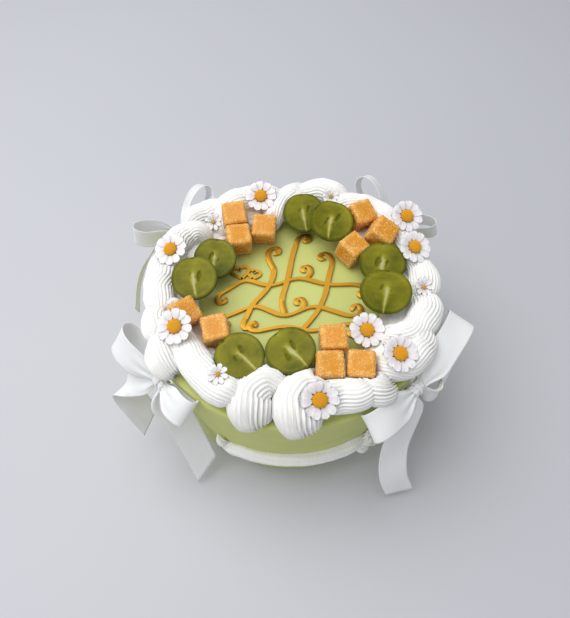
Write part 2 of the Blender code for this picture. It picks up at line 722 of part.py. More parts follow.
def scroll_line(x, y, heading, length, hand):
    """Line that leaves a foot and winds up ever tighter into a scroll."""
    point = Vector((x, y, 0))
    line = [point.copy()]
    for k in range(SCROLL_STEPS):
        share = (k + 0.5) / SCROLL_STEPS
        turn = math.radians(heading) + hand * 2 * math.pi * SCROLL_TURNS * share ** SCROLL_CURL
        stride = length / SCROLL_STEPS * blend(*SCROLL_STRIDES, share)
        point = point + Vector((math.cos(turn), math.sin(turn), 0)) * stride
        line.append(point.copy())
    return line


def heart_line(x, y, size, turn):
    """Closed outline of a heart."""
    spin = Matrix.Rotation(math.radians(turn), 4, "Z")
    line = []
    for k in range(HEART_STEPS):
        t = 2 * math.pi * k / HEART_STEPS
        across = size * math.sin(t) ** 3
        up = size * (13 * math.cos(t) - 5 * math.cos(2 * t) - 2 * math.cos(3 * t) - math.cos(4 * t)) / 16
        line.append(spin @ Vector((across, up, 0)) + Vector((x, y, 0)))
    return line


def make_ornament(material):
    """Gilt ornament of vines, scrolls and hearts, cut in one piece."""
    bands = []
    for points in VINES:
        line = spline([Vector((x, y, 0)) for x, y in points], VINE_STEPS)
        bands.append(open_band("vine", line, len(bands)))
    for scroll in SCROLLS:
        bands.append(open_band("scroll", scroll_line(*scroll), len(bands)))
    for heart in HEARTS:
        bands.append(closed_band("heart", heart_line(*heart), len(bands)))
    ornament = bands[0]
    ornament.name = "gilt_ornament"
    combine(ornament, bands[1:], "UNION")
    ornament.data.transform(Matrix.Translation((0, 0, CAKE_HEIGHT + GAP + ORNAMENT_THICKNESS / 2)))
    ornament.data.materials.clear()
    ornament.data.materials.append(material)


def ribbon_rings(line, across, widths, grow=0.0):
    """Rectangular sections of a ribbon along a line, each with its width's direction, thickened by grow."""
    rings = []
    for i, (point, width) in enumerate(zip(line, widths)):
        ahead = (line[min(i + 1, len(line) - 1)] - line[max(i - 1, 0)]).normalized()
        side = (across[i] - ahead * across[i].dot(ahead)).normalized()
        face = ahead.cross(side)
        ring = []
        for sign, up in ((1, 1), (-1, 1), (-1, -1), (1, -1)):
            sideways = side * (sign * (width / 2 + grow))
            outwards = face * (up * (RIBBON_THICKNESS / 2 + grow))
            ring.append((point + sideways + outwards) * MM)
        rings.append(ring)
    return rings


def ribbon_skin(rings):
    """Vertices and faces of a ribbon, its two faces triangulated alike."""
    verts = [v for ring in rings for v in ring]
    faces = [(3, 2, 1, 0), tuple(range(len(verts) - 4, len(verts)))]
    for first in range(0, len(verts) - 4, 4):
        a, b, c, d = range(first, first + 4)
        e, f, g, h = range(first + 4, first + 8)
        faces += [(a, b, f), (a, f, e), (d, g, c), (d, h, g), (b, c, g, f), (d, a, e, h)]
    return verts, faces


def gathered_width(along):
    """Width of the ribbon at a distance from its knot."""
    return blend(RIBBON_GATHER_WIDTH, RIBBON_WIDTH, smooth_step(along / RIBBON_GATHER_LENGTH))


def loop_rings(side, length, opening, direction, across, level, grow):
    """Sections of a teardrop loop of ribbon that leaves the knot and comes back to it."""
    direction = Vector(direction).normalized()
    across = Vector(across)
    across = (across - direction * across.dot(direction)).normalized()
    swell = across.cross(direction)
    start = Vector((level, side * TIE_CLEAR, level))
    line = []
    for k in range(LOOP_STEPS + 1):
        turn = math.pi * k / LOOP_STEPS
        lift = LOOP_FULLNESS * opening * math.sin(2 * turn) * math.sin(turn)
        lift += RIBBON_THICKNESS * math.cos(turn)
        line.append(start + direction * (length * math.sin(turn) ** 2) + swell * lift)
    total = polyline_length(line)
    travelled = 0.0
    widths = []
    for i, point in enumerate(line):
        travelled += (point - line[i - 1]).length if i else 0.0
        widths.append(gathered_width(min(travelled, total - travelled)))
    return ribbon_rings(line, [across] * len(line), widths, grow)


def tail_rings(side, points, across, slant, level):
    """Sections of a tail of ribbon from the knot to its slanting end."""
    route = [Vector((level, side * TIE_CLEAR, level))] + [Vector(point) for point in points]
    gathered = Vector(across[0])
    gathered.y *= NECK_TURN_SHARE
    turns = [gathered.normalized()] + [Vector(direction) for direction in across]
    line = spline(route, TAIL_STEPS)
    directions = []
    for i in range(len(line)):
        k = min(i // TAIL_STEPS, len(turns) - 2)
        directions.append(turns[k].lerp(turns[k + 1], (i - k * TAIL_STEPS) / TAIL_STEPS))
    travelled = 0.0
    widths = []
    for i, point in enumerate(line):
        travelled += (point - line[i - 1]).length if i else 0.0
        widths.append(gathered_width(travelled))
    rings = ribbon_rings(line, directions, widths)
    ahead = (line[-1] - line[-2]).normalized()
    for k, corner in enumerate(rings[-1]):
        rings[-1][k] = corner + ahead * (slant * MM * (1 if k in (0, 3) else -1) / 2)
    return rings


def neck_solid(name):
    """Round bar along a bow's second axis, where the ribbon is gathered."""
    rings = []
    for sign in (-1, 1):
        ring = []
        for k in range(NECK_SIDES):
            turn = 2 * math.pi * k / NECK_SIDES
            ring.append(Vector((NECK_RADIUS * math.cos(turn), sign * NECK_HALF_LENGTH,
                                NECK_RADIUS * math.sin(turn))) * MM)
        rings.append(ring)
    verts, faces = loft(rings)
    return new_object(name, verts, faces)


def make_tie(name, material):
    """Thin band round a bow's neck."""
    verts = []
    for i in range(TIE_SEGMENTS):
        turn = 2 * math.pi * i / TIE_SEGMENTS
        out = Vector((math.cos(turn), 0, math.sin(turn)))
        for k in range(TIE_SIDES):
            roll = 2 * math.pi * k / TIE_SIDES
            reach = TIE_RADIUS + TIE_WIRE_RADIUS * math.cos(roll)
            verts.append((out * reach + Vector((0, TIE_WIRE_RADIUS * math.sin(roll), 0))) * MM)
    faces = []
    for i in range(TIE_SEGMENTS):
        n = (i + 1) % TIE_SEGMENTS
        for k in range(TIE_SIDES):
            j = (k + 1) % TIE_SIDES
            faces.append((i * TIE_SIDES + k, i * TIE_SIDES + j, n * TIE_SIDES + j, n * TIE_SIDES + k))
    return new_object(name, verts, faces, material)


def keep_off_side(rings, frame):
    """Move both faces of a ribbon outwards together wherever they come too near the cake's side."""
    inverse = frame.inverted()
    for ring in rings:
        for pair in RIBBON_EDGES:
            points = [frame @ ring[k] for k in pair]
            push = 0.0
            for point in points:
                if point.z < CAKE_HEIGHT + RIBBON_OFF_SIDE:
                    reach = math.hypot(point.x, point.y)
                    push = max(push, side_radius(min(point.z, CAKE_HEIGHT)) + RIBBON_OFF_SIDE - reach)
            for k, point in zip(pair, points):
                outward = Vector((point.x, point.y, 0)).normalized()
                ring[k] = inverse @ (point + outward * push)


def strip_solids(sections, frame):
    """One solid strip of ribbon for each set of sections, clear of the cake's side."""
    strips = []
    for rings in sections:
        keep_off_side(rings, frame)
        verts, faces = ribbon_skin(rings)
        strips.append(new_object("strip", verts, faces))
    return strips


def loop_strips(bow, frame, grow):
    """The loops of a bow in its own frame, thickened by grow on every side."""
    rings = [loop_rings(*loop, level, grow) for loop, level in zip(bow["loops"], LOOP_LEVELS)]
    return strip_solids(rings, frame)


def tail_strips(bow, frame):
    """The tails of a bow in its own frame."""
    return strip_solids([tail_rings(*tail, level) for tail, level in zip(bow["tails"], TAIL_LEVELS)], frame)


def make_bow(number, bow, material):
    """Bow of wide ribbon gathered into a neck and the thin tie round it; returns its room in the cream."""
    angle, radius, height = bow["knot"]
    spot = Matrix.Translation(polar(radius * MM, angle, height * MM))
    frame = spot @ Matrix.Rotation(math.radians(angle), 4, "Z")
    neck = neck_solid("ribbon_bow_" + str(number))
    combine(neck, loop_strips(bow, frame, 0.0) + tail_strips(bow, frame), "UNION")
    neck.data.transform(frame)
    neck.data.materials.clear()
    neck.data.materials.append(material)
    make_tie("ribbon_tie_" + str(number), material).data.transform(frame)
    room = loop_strips(bow, frame, GAP / MM)
    for strip in room:
        strip.data.transform(frame)
    return room


def garland_rings(first, last):
    """Sections of the piped band between two angles: an upright ridged bead with a toothed lower edge."""
    rings = []
    for i in range(GARLAND_STEPS + 1):
        share = i / GARLAND_STEPS
        angle = blend(first, last, share)
        full = math.sin(math.pi / 2 * min(share, 1 - share, GARLAND_END_SHARE) / GARLAND_END_SHARE)
        sag = GARLAND_SAG * (1 - smooth_step(share / GARLAND_BEND_SHARE))
        rise = GARLAND_RISE * smooth_step((share - 1 + GARLAND_BEND_SHARE) / GARLAND_BEND_SHARE)
        height = GARLAND_HEIGHT - sag + rise
        half = GARLAND_HALF_HEIGHT * blend(GARLAND_END_HEIGHT, 1.0, full)
        tooth = GARLAND_TEETH * (i % 2)
        ring = []
        for out, up in GARLAND_SECTION:
            level = height + half * up - (tooth if up < GARLAND_TOOTH_LEVEL else 0.0)
            reach = side_radius(level) + GAP + GARLAND_DEPTH * out * blend(GARLAND_END_DEPTH, 1.0, full)
            ring.append(polar(reach, angle, level))
        rings.append(ring)
    return rings


def shell_solid(name, angle, height, length, width, lean):
    """Puffy teardrop of cream on the cake's side, its tail leaning from upright by some degrees."""
    rings = []
    tilt = math.radians(lean)
    for share, swell in SHELL_OUTLINE:
        along = (share - 0.5) * length
        half = width / 2 * swell
        ring = []
        for k in range(SHELL_SIDES):
            turn = 2 * math.pi * k / SHELL_SIDES
            across = half * math.cos(turn)
            out = half * (SHELL_SEAT + SHELL_DEPTH * math.sin(turn))
            up = along * math.cos(tilt) - across * math.sin(tilt)
            sideways = along * math.sin(tilt) + across * math.cos(tilt)
            level = (height + up) * MM
            reach = side_radius(level) + GAP + max(out, 0.0) * MM
            ring.append(polar(reach, angle + math.degrees(sideways * MM / reach), level))
        rings.append(ring)
    start = sum(rings[0], Vector()) / SHELL_SIDES
    end = sum(rings[-1], Vector()) / SHELL_SIDES
    verts, faces = loft(rings, start, end)
    return new_object(name, verts, faces)


def make_garland(number, first, last, shells, material):
    """Band of piped cream round a quarter of the side with its shells."""
    verts, faces = loft(garland_rings(first, last))
    band = new_object("side_garland_" + str(number), verts, faces)
    combine(band, [shell_solid("shell", *shell) for shell in shells], "UNION")
    band.data.materials.clear()
    band.data.materials.append(material)


def make_toppings(materials):
    """Grapes, jelly cubes and daisies; returns the shapes that keep the cream off them."""
    cutters = []
    for i, (x, y, height, length, width, lean_x, lean_y, turn) in enumerate(GRAPES, 1):
        rotation = lean_matrix(lean_x, lean_y, turn)
        grape = grape_solid("grape_half_" + str(i), length, width, 0.0, materials["grape"])
        place(grape, x, y, height, rotation)
        cutters.append(place(grape_solid("grape_room", length, width, GAP), x, y, height, rotation))
    for i, (x, y, height, *turns) in enumerate(JELLIES, 1):
        rotation = Matrix.Identity(4)
        for axis, degrees in zip("XYZ", turns):
            rotation = Matrix.Rotation(math.radians(degrees), 4, axis) @ rotation
        place(jelly_solid("jelly_cube_" + str(i), 0.0, materials["jelly"]), x, y, height, rotation)
        cutters.append(place(jelly_solid("jelly_room", GAP), x, y, height, rotation))
    for i, (x, y, height, lean_x, lean_y, turn) in enumerate(DAISIES, 1):
        rotation = lean_matrix(lean_x, lean_y, turn)
        petals = daisy_solid("daisy_petals_" + str(i), DAISY_RADIUS, DAISY_PETALS, BOSS_RADIUS, 0.0,
                             materials["petal"])
        place(petals, x, y, height, rotation)
        boss = boss_solid("daisy_centre_" + str(i), materials["boss"])
        boss.data.transform(Matrix.Translation((0, 0, DAISY_THICKNESS + GAP)))
        place(boss, x, y, height, rotation)
        cutters.append(place(flower_room(DAISY_RADIUS * PETAL_TIP), x, y, height, rotation))
    for i, (x, y, height, lean_x, lean_y, turn) in enumerate(SMALL_DAISIES, 1):
        rotation = lean_matrix(lean_x, lean_y, turn)
        daisy = daisy_solid("small_daisy_" + str(i), SMALL_DAISY_RADIUS, SMALL_DAISY_PETALS,
                            SMALL_BOSS_RADIUS, SMALL_BOSS_HEIGHT, materials["petal"])
        place(daisy, x, y, height, rotation)
        cutters.append(place(flower_room(SMALL_DAISY_RADIUS * PETAL_TIP), x, y, height, rotation))
    return cutters


def drop_scraps(obj):
    """Keep the largest connected part of a mesh."""
    bm = bmesh.new()
    bm.from_mesh(obj.data)
    left = set(bm.verts)
    islands = []
    while left:
        first = left.pop()
        island, queue = {first}, [first]
        while queue:
            for edge in queue.pop().link_edges:
                for vert in edge.verts:
                    if vert in left:
                        left.discard(vert)
                        island.add(vert)
                        queue.append(vert)
        islands.append(island)
    islands.sort(key=len)
    scraps = [vert for island in islands[:-1] for vert in island]
    bmesh.ops.delete(bm, geom=scraps, context="VERTS")
    bm.to_mesh(obj.data)
    bm.free()


def make_border(cutters, material):
    """Piped strokes joined in one ring, seated on the cake and fitted round what lies in it."""
    border = bed_solid("cream_border")
    combine(border, [stroke_solid("stroke", *stroke) for stroke in STROKES], "UNION")
    combine(border, [cake_solid("cake_room", GAP)] + cutters, "DIFFERENCE")
    drop_scraps(border)
    border.data.materials.clear()
    border.data.materials.append(material)
    border.data.shade_smooth()
    border.data.set_sharp_from_angle(angle=SHARP_ANGLE)


def main():
    """Build the cake and all that is on it."""
    clear_scene()
    materials = {
        "coat": make_material("pale_green_coat", (0.60, 0.63, 0.20), 0.45),
        "cream": make_material("white_cream", (0.90, 0.90, 0.87), 0.55),
        "grape": make_material("green_grape", (0.20, 0.22, 0.02), 0.25),
        "jelly": make_material("orange_jelly", (0.80, 0.36, 0.04), 0.5),
        "petal": make_material("white_petal", (0.85, 0.83, 0.83), 0.6),
        "boss": make_material("yellow_boss", (0.85, 0.45, 0.02), 0.7),
        "gilt": make_material("gold_mirror_sheet", (0.80, 0.42, 0.06), 0.2, 1.0),
        "satin": make_material("white_satin", (0.80, 0.80, 0.79), 0.35),
    }
    cake_solid("cake_body", 0.0, materials["coat"])
    rooms = make_toppings(materials)
    for number, bow in enumerate(BOWS, 1):
        rooms += make_bow(number, bow, materials["satin"])
    make_border(rooms, materials["cream"])
    make_ornament(materials["gilt"])
    for number, (first, last, shells) in enumerate(GARLANDS, 1):
        make_garland(number, first, last, shells, materials["cream"])


main()
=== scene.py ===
"""Round cream cake with piped cream, halved grapes, sugared jelly, daisies, a gilt ornament and satin bows.

Each operator dresses one kind of piece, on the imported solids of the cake. Everything is in metres, +Z up,
with the origin at the centre of the cake's underside. Angles are in degrees round +Z from +X.
"""

import math
from functools import partial
from itertools import accumulate

import bmesh
import bpy
import numpy as np
from bpy.props import FloatProperty, FloatVectorProperty, IntProperty, PointerProperty
from mathutils import Matrix, Vector, noise
from mathutils.bvhtree import BVHTree


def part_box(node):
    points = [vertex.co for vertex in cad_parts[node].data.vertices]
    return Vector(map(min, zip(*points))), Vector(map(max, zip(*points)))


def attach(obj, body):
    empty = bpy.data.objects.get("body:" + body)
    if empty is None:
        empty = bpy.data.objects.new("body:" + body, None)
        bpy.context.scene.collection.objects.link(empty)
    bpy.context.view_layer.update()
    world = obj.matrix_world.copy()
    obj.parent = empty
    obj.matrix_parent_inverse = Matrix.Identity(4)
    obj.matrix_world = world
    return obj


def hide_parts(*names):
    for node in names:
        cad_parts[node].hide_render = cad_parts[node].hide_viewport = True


bl_info = {
    "name": "Cream Cake Dressing",
    "version": (1, 0, 0),
    "blender": (4, 5, 0),
    "location": "View3D > Sidebar > Cake",
    "description": "Makes the surfaces of a piped cream cake with fruit, flowers and bows",
    "category": "Object",
}

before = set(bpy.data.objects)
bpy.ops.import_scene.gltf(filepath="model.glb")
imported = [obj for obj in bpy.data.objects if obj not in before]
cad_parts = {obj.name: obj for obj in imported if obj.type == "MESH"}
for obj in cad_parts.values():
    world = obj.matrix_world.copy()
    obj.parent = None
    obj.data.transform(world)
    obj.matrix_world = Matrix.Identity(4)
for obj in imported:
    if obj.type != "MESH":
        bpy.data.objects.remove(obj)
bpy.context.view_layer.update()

MM = 0.001
FULL_TURN = 2 * math.pi
BODY = "root"

# Kinds of nodes that come often, with their operation.
TIMES = "ShaderNodeMath.MULTIPLY"
TIMES_PLUS = "ShaderNodeMath.MULTIPLY_ADD"
PLUS = "ShaderNodeMath.ADD"
MINUS = "ShaderNodeMath.SUBTRACT"
SCALED = "ShaderNodeVectorMath.SCALE"
NAMED_VALUE = "GeometryNodeInputNamedAttribute"
STORE_VALUE = "GeometryNodeStoreNamedAttribute"
SET_POSITION = "GeometryNodeSetPosition"
REALISE = "GeometryNodeRealizeInstances"
SET_MATERIAL = "GeometryNodeSetMaterial"
NOISE_DETAIL = 2.0
# Length of a wave texture's wave at scale 1.
WAVE_LENGTH = FULL_TURN / 20
THREAD_RELIEF = 0.15

# The cake under its coat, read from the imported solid.
CAKE_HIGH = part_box("cake_body")[1]
CAKE_RADIUS_TOP = CAKE_HIGH.x
CAKE_HEIGHT = CAKE_HIGH.z
CAKE_RADIUS_BASE = 0.955 * CAKE_RADIUS_TOP

# The photograph's frame and the camera that was fitted to the cake's top and foot.
PICTURE_HEIGHT = 618
SENSOR = 36.0
FOCAL_PIXELS = 525.0
CAMERA_PLACE = (-0.004, -0.208, 0.404)
CAMERA_PITCH = 57.5

# Floor, and lights as (name, place, size).
FLOOR_HALF = 3.0
KEY_LIGHT = ("key_light", (-0.50, 0.25, 1.35), 1.5)
FILL_LIGHT = ("fill_light", (-0.8, -0.9, 0.8), 1.4)
SKY_COLOUR = "#F2F4F8"

# The coat: how far its foot is drawn in and how high, in mm, its rings, and its waves per metre.
COAT_FOOT = ((1.5, 0.0), (0.4, 0.5), (0.0, 1.6))
COAT_SEGMENTS = 224
COAT_SIDE_RINGS = 24
COAT_EDGE_RINGS = 6
COAT_TOP_RINGS = 30
COAT_WAVES = (28, 28, 55)
COAT_SINK = 0.3
COAT_TOP_SHARE = 0.5
# The uneven lip that the palette knife left round the top edge.
LIP_SIZE = 1.3
LIP_WAVES = 5
LIP_REACH = 7 * MM
LIP_FROM = 0.85
LIP_WIDTH = 0.12

# Cream: the section of a stroke and the low bed under the strokes.
STROKE_SEAT = 0.90
STROKE_FLATNESS = 0.85
STROKE_TAIL = 13 * MM
STROKE_TAIL_SHARE = 0.30
STROKE_NOSE_RINGS = 8
STROKE_STEPS = 16
STROKE_TWIST = math.radians(70)
ROSETTE_FROM = 15
ROSETTE_TWIST = math.radians(50)
NOSE_CUT = 0.20
NOSE_REACH = 2.0
DROOP_REACH = 1.6
SURGE = 0.06
SURGE_LENGTH = 7 * MM
SWAY = 0.35
SWAY_LENGTH = 14 * MM
POINTS_A_RIDGE = 5
# Waves of the soft cream as (repeats on a metre, strength).
SWELLS = ((90.0, 2.0), (330.0, 0.9))
SWEPT_FACTS = ("swept_radius", "height_share", "twist", "nose_cut", "axis_height")
BED_RADIUS = 79 * MM
BED_HALF_WIDTH = 14 * MM
BED_HEIGHT = 8 * MM
BED_WAVE = 1.2 * MM
BED_RINGS = 240
BED_RIDGES = 14

# How far the cream stays under a topping, and how much wider than the topping it is pressed.
PRESS_GAP = 0.5 * MM
PRESS_GROW = 1.05

# Each stroke: (radius mm, angle) along its axis from the fat end to the tail, its fat and thin radius
# and how far the fat end droops, in mm.
STROKES = [
    ([(98, -138), (99, -146), (93, -151), (86, -148), (85, -140)], 11.0, 9.0, 2),
    ([(87, -158), (84, -146), (85, -132), (88, -121), (85, -110)], 11.0, 11.5, 0),
    ([(101, -102), (93, -105), (83, -107), (74, -101), (76, -91)], 17.0, 9.5, 11),
    ([(103, -85), (94, -87), (84, -88), (76, -82), (80, -72)], 17.5, 9.5, 11),
    ([(82, -80), (86, -71), (90, -63), (92, -54)], 12.5, 10.0, 0),
    ([(98, -50), (95, -54), (89, -58), (80, -60), (70, -62)], 12.0, 9.0, 2),
    ([(93, -22), (95, -31), (93, -40), (84, -46), (74, -48)], 11.5, 9.5, 2),
    ([(92, -4), (92, -15), (87, -25), (78, -31), (66, -30)], 12.5, 9.0, 2),
    ([(91, -6), (93, 4), (90, 13), (79, 18)], 11.5, 9.0, 2),
    ([(89, 11), (92, 22), (90, 32), (78, 38)], 12.0, 9.0, 1),
    ([(91, 31), (93, 44), (90, 55), (83, 63), (73, 69)], 12.0, 9.5, 1),
    ([(92, 62), (92, 73), (85, 84), (73, 90)], 12.5, 9.5, 3),
    ([(91, 80), (83, 90), (71, 98), (58, 103)], 11.5, 9.5, 1),
    ([(83, 94), (87, 108), (88, 120), (84, 133)], 11.5, 10.0, 0),
    ([(92, 146), (93, 137), (89, 129), (79, 129), (71, 137)], 11.5, 9.5, 1),
    ([(91, 162), (90, 152), (83, 145), (72, 144)], 11.5, 9.5, 1),
    ([(88, 156), (90, 170), (90, -176), (88, -161)], 11.5, 10.5, 0),
    ([(93, -152), (93, -162), (87, -167), (79, -163), (76, -153)], 11.0, 9.5, 1),
]

# Each garland: its first and last angle, then its shells as (angle, height mm, length mm, width mm, lean).
GARLANDS = [
    (-121, -58, [(-119.5, 41.5, 11, 7, -40), (-116.8, 37, 8, 6, -30), (-60, 33, 13, 11, -20),
                 (-57.5, 42, 15, 10, 10), (-54.5, 33.5, 13, 11, 5), (-52, 43, 14, 10, 20),
                 (-55.5, 48, 9, 8, 0)]),
    (-29, 29, [(-29, 43, 20, 10, 12), (30, 38, 22, 12, -12)]),
    (61, 119, [(61, 43, 20, 10, 12), (120, 38, 22, 12, -12)]),
    (161, 209, [(161, 43, 20, 10, 12), (210, 38, 22, 12, -12)]),
]
GARLAND_HEIGHT = 37 * MM
GARLAND_HALF_HEIGHT = 6.5 * MM
GARLAND_OUT = 0.5 * MM
GARLAND_SAG = 5 * MM
GARLAND_RISE = 3 * MM
GARLAND_END = 0.12
GARLAND_END_SHARE = 0.4
GARLAND_BEND = 0.2
GARLAND_TEETH = 0.035
GARLAND_GROOVE = 0.16
GARLAND_RINGS = 220
RINGS_A_TOOTH = 5
GARLAND_RIDGES = 7
GARLAND_TWIST = 0.6
GARLAND_EVENNESS = 0.6
SHELL_RINGS = 16
SHELL_END = 0.12
# A shell swells by the sine of its length to the first power, to the second.
SHELL_POWERS = (0.75, 0.8)
SHELL_LEAST = 0.5
SHELL_OUT = 0.8
SHELL_TWIST = 0.5
SHELL_TEETH = 0.2

# Each grape half: x and y of the cut face's centre, its height over the cake's top, its length and
# width, all in mm, then how far its face leans to +X and +Y, and the angle of its stem end.
GRAPES = [
    (10.0, 62.0, 16.0, 30.0, 30.5, 0.05, -0.48, 95),
    (29.7, 47.8, 22.8, 30.5, 31.5, 0.10, -0.42, 78),
    (63.8, 14.4, 16.4, 30.0, 32.5, -0.06, -0.46, 88),
    (62.3, -13.4, 22.4, 30.5, 34.5, -0.02, -0.40, 84),
    (-32.2, -57.2, 15.7, 31.5, 31.5, 0.04, -0.14, 140),
    (-0.6, -53.7, 16.4, 31.5, 32.5, 0.00, -0.12, 132),
    (-53.1, 19.5, 15.5, 29.5, 30.0, -0.04, -0.44, 80),
    (-64.5, -2.6, 22.7, 30.0, 31.0, -0.04, -0.42, 95),
]
GRAPE_DEPTH_SHARE = 0.42
GRAPE_NOTCH = 0.06
GRAPE_NOTCH_WIDTH = 0.34
GRAPE_SEGMENTS = 112
GRAPE_SKIN_RINGS = 14
GRAPE_FACE_RINGS = 30
GRAPE_SKIN_ARC = math.radians(86)
# Steps from the skin to the cut face as (share of the face, height mm).
GRAPE_EDGE = ((1.0, -0.5), (0.985, -0.1))
GRAPE_FACE_SHARE = 0.965
GRAPE_BULGE = 0.012
GRAPE_RIM = 0.8 * MM
GRAPE_DISH = 0.45 * MM
GRAPE_RIPPLE = 0.12 * MM
# Tones of the cut face, from 0 for the darkest skin to 1 for the palest core.
GRAPE_SKIN_TONE = 0.24
FLESH_TONE = 0.42
CORE_TONE = 0.88
HOLLOW_TONE = 0.20
CORE_WEIGHT = 0.85
HOLLOW_WEIGHT = 0.65
TONE_TO_STEM = 0.11
# Clouds of tone as (repeats along, repeats across, offset, weight).
TONE_CLOUDS = ((1.6, 1.6, 9.5, 0.18), (6.0, 2.2, 2.5, 0.06))
# A pale ring near the rim of the cut face is a painted highlight.
PAINTED_RING_HIGHLIGHT = 0.07
RIM_TONE = 0.18
SPOT_TONE = 0.35
# Places on the cut face are in half sizes from its middle, with the stem at +X.
CORE_HALF = (0.04, 0.16)
CORE_SWELL = 0.15 * MM
CORE_BEND = 0.05
CORE_FRAY = 0.5
CORE_END = 0.6
STEM_PLACE = 0.93
STEM_HALF = (0.13, 0.10)
STEM_DEPTH = 0.9 * MM
SEED_PLACE = (0.05, 0.20)
SEED_HALF = (0.21, 0.075)
SEED_DEPTH = 0.8 * MM
SEED_RAGGED = 0.8
SEED_UNEVEN = 0.45
SEED_SHIFT = 0.12
SEED_SLANT = 0.25
# Where the painted highlight ring lies and how wide it is.
RING_PLACE = 0.83
RING_WIDTH = 0.03
RIM_FROM = 0.86
RIM_WIDTH = 0.12
SPOT_WIDTH = 0.05

# Each jelly cube: x and y of its centre and its height over the cake's top in mm, then its turns
# about X, Y and Z.
JELLIES = [
    (-40.6, 58.7, 15.0, 20, -6, 8),
    (-37.8, 40.2, 10.4, 8, 4, 12),
    (-19.4, 49.6, 11.2, 18, 4, -4),
    (51.6, 58.7, 15.6, 20, 8, 30),
    (65.2, 40.1, 17.6, 24, -8, 60),
    (44.2, 30.9, 10.7, 12, 4, 44),
    (-69.7, -26.7, 14.7, 22, 6, 38),
    (-48.8, -36.4, 10.7, 12, -4, 12),
    (26.8, -43.8, 9.8, 4, 0, 3),
    (23.5, -63.5, 12.0, 9, 3, 2),
    (43.2, -63.0, 12.0, 9, -3, -4),
]
JELLY_SIDE = 17.4 * MM
JELLY_ROUND = 2.2 * MM
JELLY_CUTS = 15
JELLY_UNEVEN = 0.35 * MM
# Waves on a metre of the cubes' uneven sides, coarse and fine.
JELLY_WAVES = (130, 900)
JELLY_SHRINK = 0.105 * MM
JELLY_EDGE_FROM = 0.62

# Each daisy: x and y of its centre and its height over the cake's top in mm, how far it leans to +X
# and +Y, and its turn.
DAISIES = [
    (-22.2, 76.1, 18.1, -0.05, -0.40, 10),
    (-83.2, 22.6, 20.8, -0.22, -0.32, 25),
    (-73.2, -40.1, 22.0, -0.16, -0.38, 5),
    (84.0, 52.9, 21.4, 0.14, -0.46, 0),
    (85.9, 24.7, 20.9, 0.26, -0.34, 15),
    (49.3, -35.9, 10.2, 0.06, -0.30, 20),
    (66.4, -58.0, 19.4, 0.24, -0.30, 8),
    (16.3, -87.6, 18.1, 0.10, -0.62, 14),
]
SMALL_DAISIES = [
    (-56.8, 54.8, 13.0, -0.10, -0.58, 0),
    (30.5, 76.5, 17.0, 0.10, -0.38, 12),
    (89.9, -4.4, 13.7, 0.20, -0.40, 20),
    (-44.0, -72.4, 20.5, -0.10, -0.34, 7),
]
DAISY_RADIUS = 11.9 * MM
PETAL_ACROSS = 8
PETAL_ALONG = 12
PETAL_THICKNESS = 0.5 * MM
PETAL_CUP = 1.2 * MM
PETAL_ROOT = 0.55
PETAL_DROOP = 0.35
PETAL_DROOP_FROM = 0.75
PETAL_TROUGH = 0.30
PETAL_WAIST = 0.30
PETAL_WAIST_END = 0.18
PETAL_TIP = 0.72
PETAL_BLUNT = 2.6
PETAL_LEAST = 0.02 * MM
PETAL_TIP_NOTCH = -0.4 * MM
# Kinds of daisy: name, places, radius, petals and how full they are, then its middle's radius,
# height and number of pips.
DAISY_KINDS = (
    ("daisy", DAISIES, DAISY_RADIUS, 11, 0.80, 4.9 * MM, 2.4 * MM, 150),
    ("small_daisy", SMALL_DAISIES, 6.6 * MM, 8, 0.58, 1.6 * MM, 1.5 * MM, 28),
)
BOSS_LIFT = 1.0 * MM
PIP_SHARE = 0.075
PIP_REACH = 0.96
PIP_LEVEL = 0.95
DOME_SEGMENTS = 28
DOME_RINGS = 7
DOME_POWERS = (2.6, 0.6)
DOME_RADIUS_SHARE = 0.97
DOME_HEIGHT_SHARE = 0.92
GOLDEN_TURN = 2.39996
CALYX_RADIUS = 6.2 * MM
CALYX_SEGMENTS = 40
CALYX_LEVELS = (-0.25 * MM, 0.1 * MM)
SHARP_FROM = math.radians(35)

# The gilt ornament: a flat sheet cut out as if a broad pen had drawn it, its lines in mm.
ORNAMENT_THICKNESS = 1.6 * MM
ORNAMENT_GAP = 0.3 * MM
ORNAMENT_LEVEL_STEP = 0.02 * MM
BAND_SECTION = ((1.0, 0.86), (0.93, 1.0), (-0.93, 1.0), (-1.0, 0.86), (-1.0, -1.0), (1.0, -1.0))
PEN_THIN = 2.1
PEN_SWELL = 2.2
PEN_ANGLE = 20
SCROLL_STEPS = 30
SCROLL_TURNS = 0.95
SCROLL_WIND = 1.7
# Length of a scroll's first and last step, as shares of the mean.
SCROLL_PACE = (1.35, 0.65)
HEART_BAND = 2.2
HEART_STEPS = 48
VINE_STEPS = 10
VINES = [
    [(-46, 1), (-32, 10), (-14, 6), (6, 12), (26, 7), (44, 7)],
    [(-42, -19), (-24, -12), (-4, -19), (16, -12), (36, -18)],
    [(-20, -31), (-4, -28), (14, -31), (32, -27)],
    [(-15, 27), (-12, 18), (-16, 4), (-26, -10), (-31, -22)],
    [(4, 43), (1, 30), (-2, 12), (-6, -6), (-4, -19)],
    [(30, 24), (27, 12), (24, -2), (18, -16), (8, -30)],
]
# Each scroll: x and y of its foot, its heading there, its length, and which way it winds.
SCROLLS = [
    (44, 7, -4, 25, -1),
    (-46, 1, 212, 20, 1),
    (-42, -19, 205, 18, 1),
    (36, -18, -18, 25, 1),
    (32, -27, 18, 27, -1),
    (-20, -31, 188, 18, -1),
    (-15, 27, 112, 26, -1),
    (-31, -22, 245, 15, 1),
    (4, 43, 80, 24, -1),
    (30, 24, 82, 24, 1),
    (10, 11.5, 38, 22, 1),
    (4, -16.5, 32, 22, 1),
]
HEARTS = [(-36, 17.5, 6.3, 12), (-26.5, 15.8, 4.6, -14)]

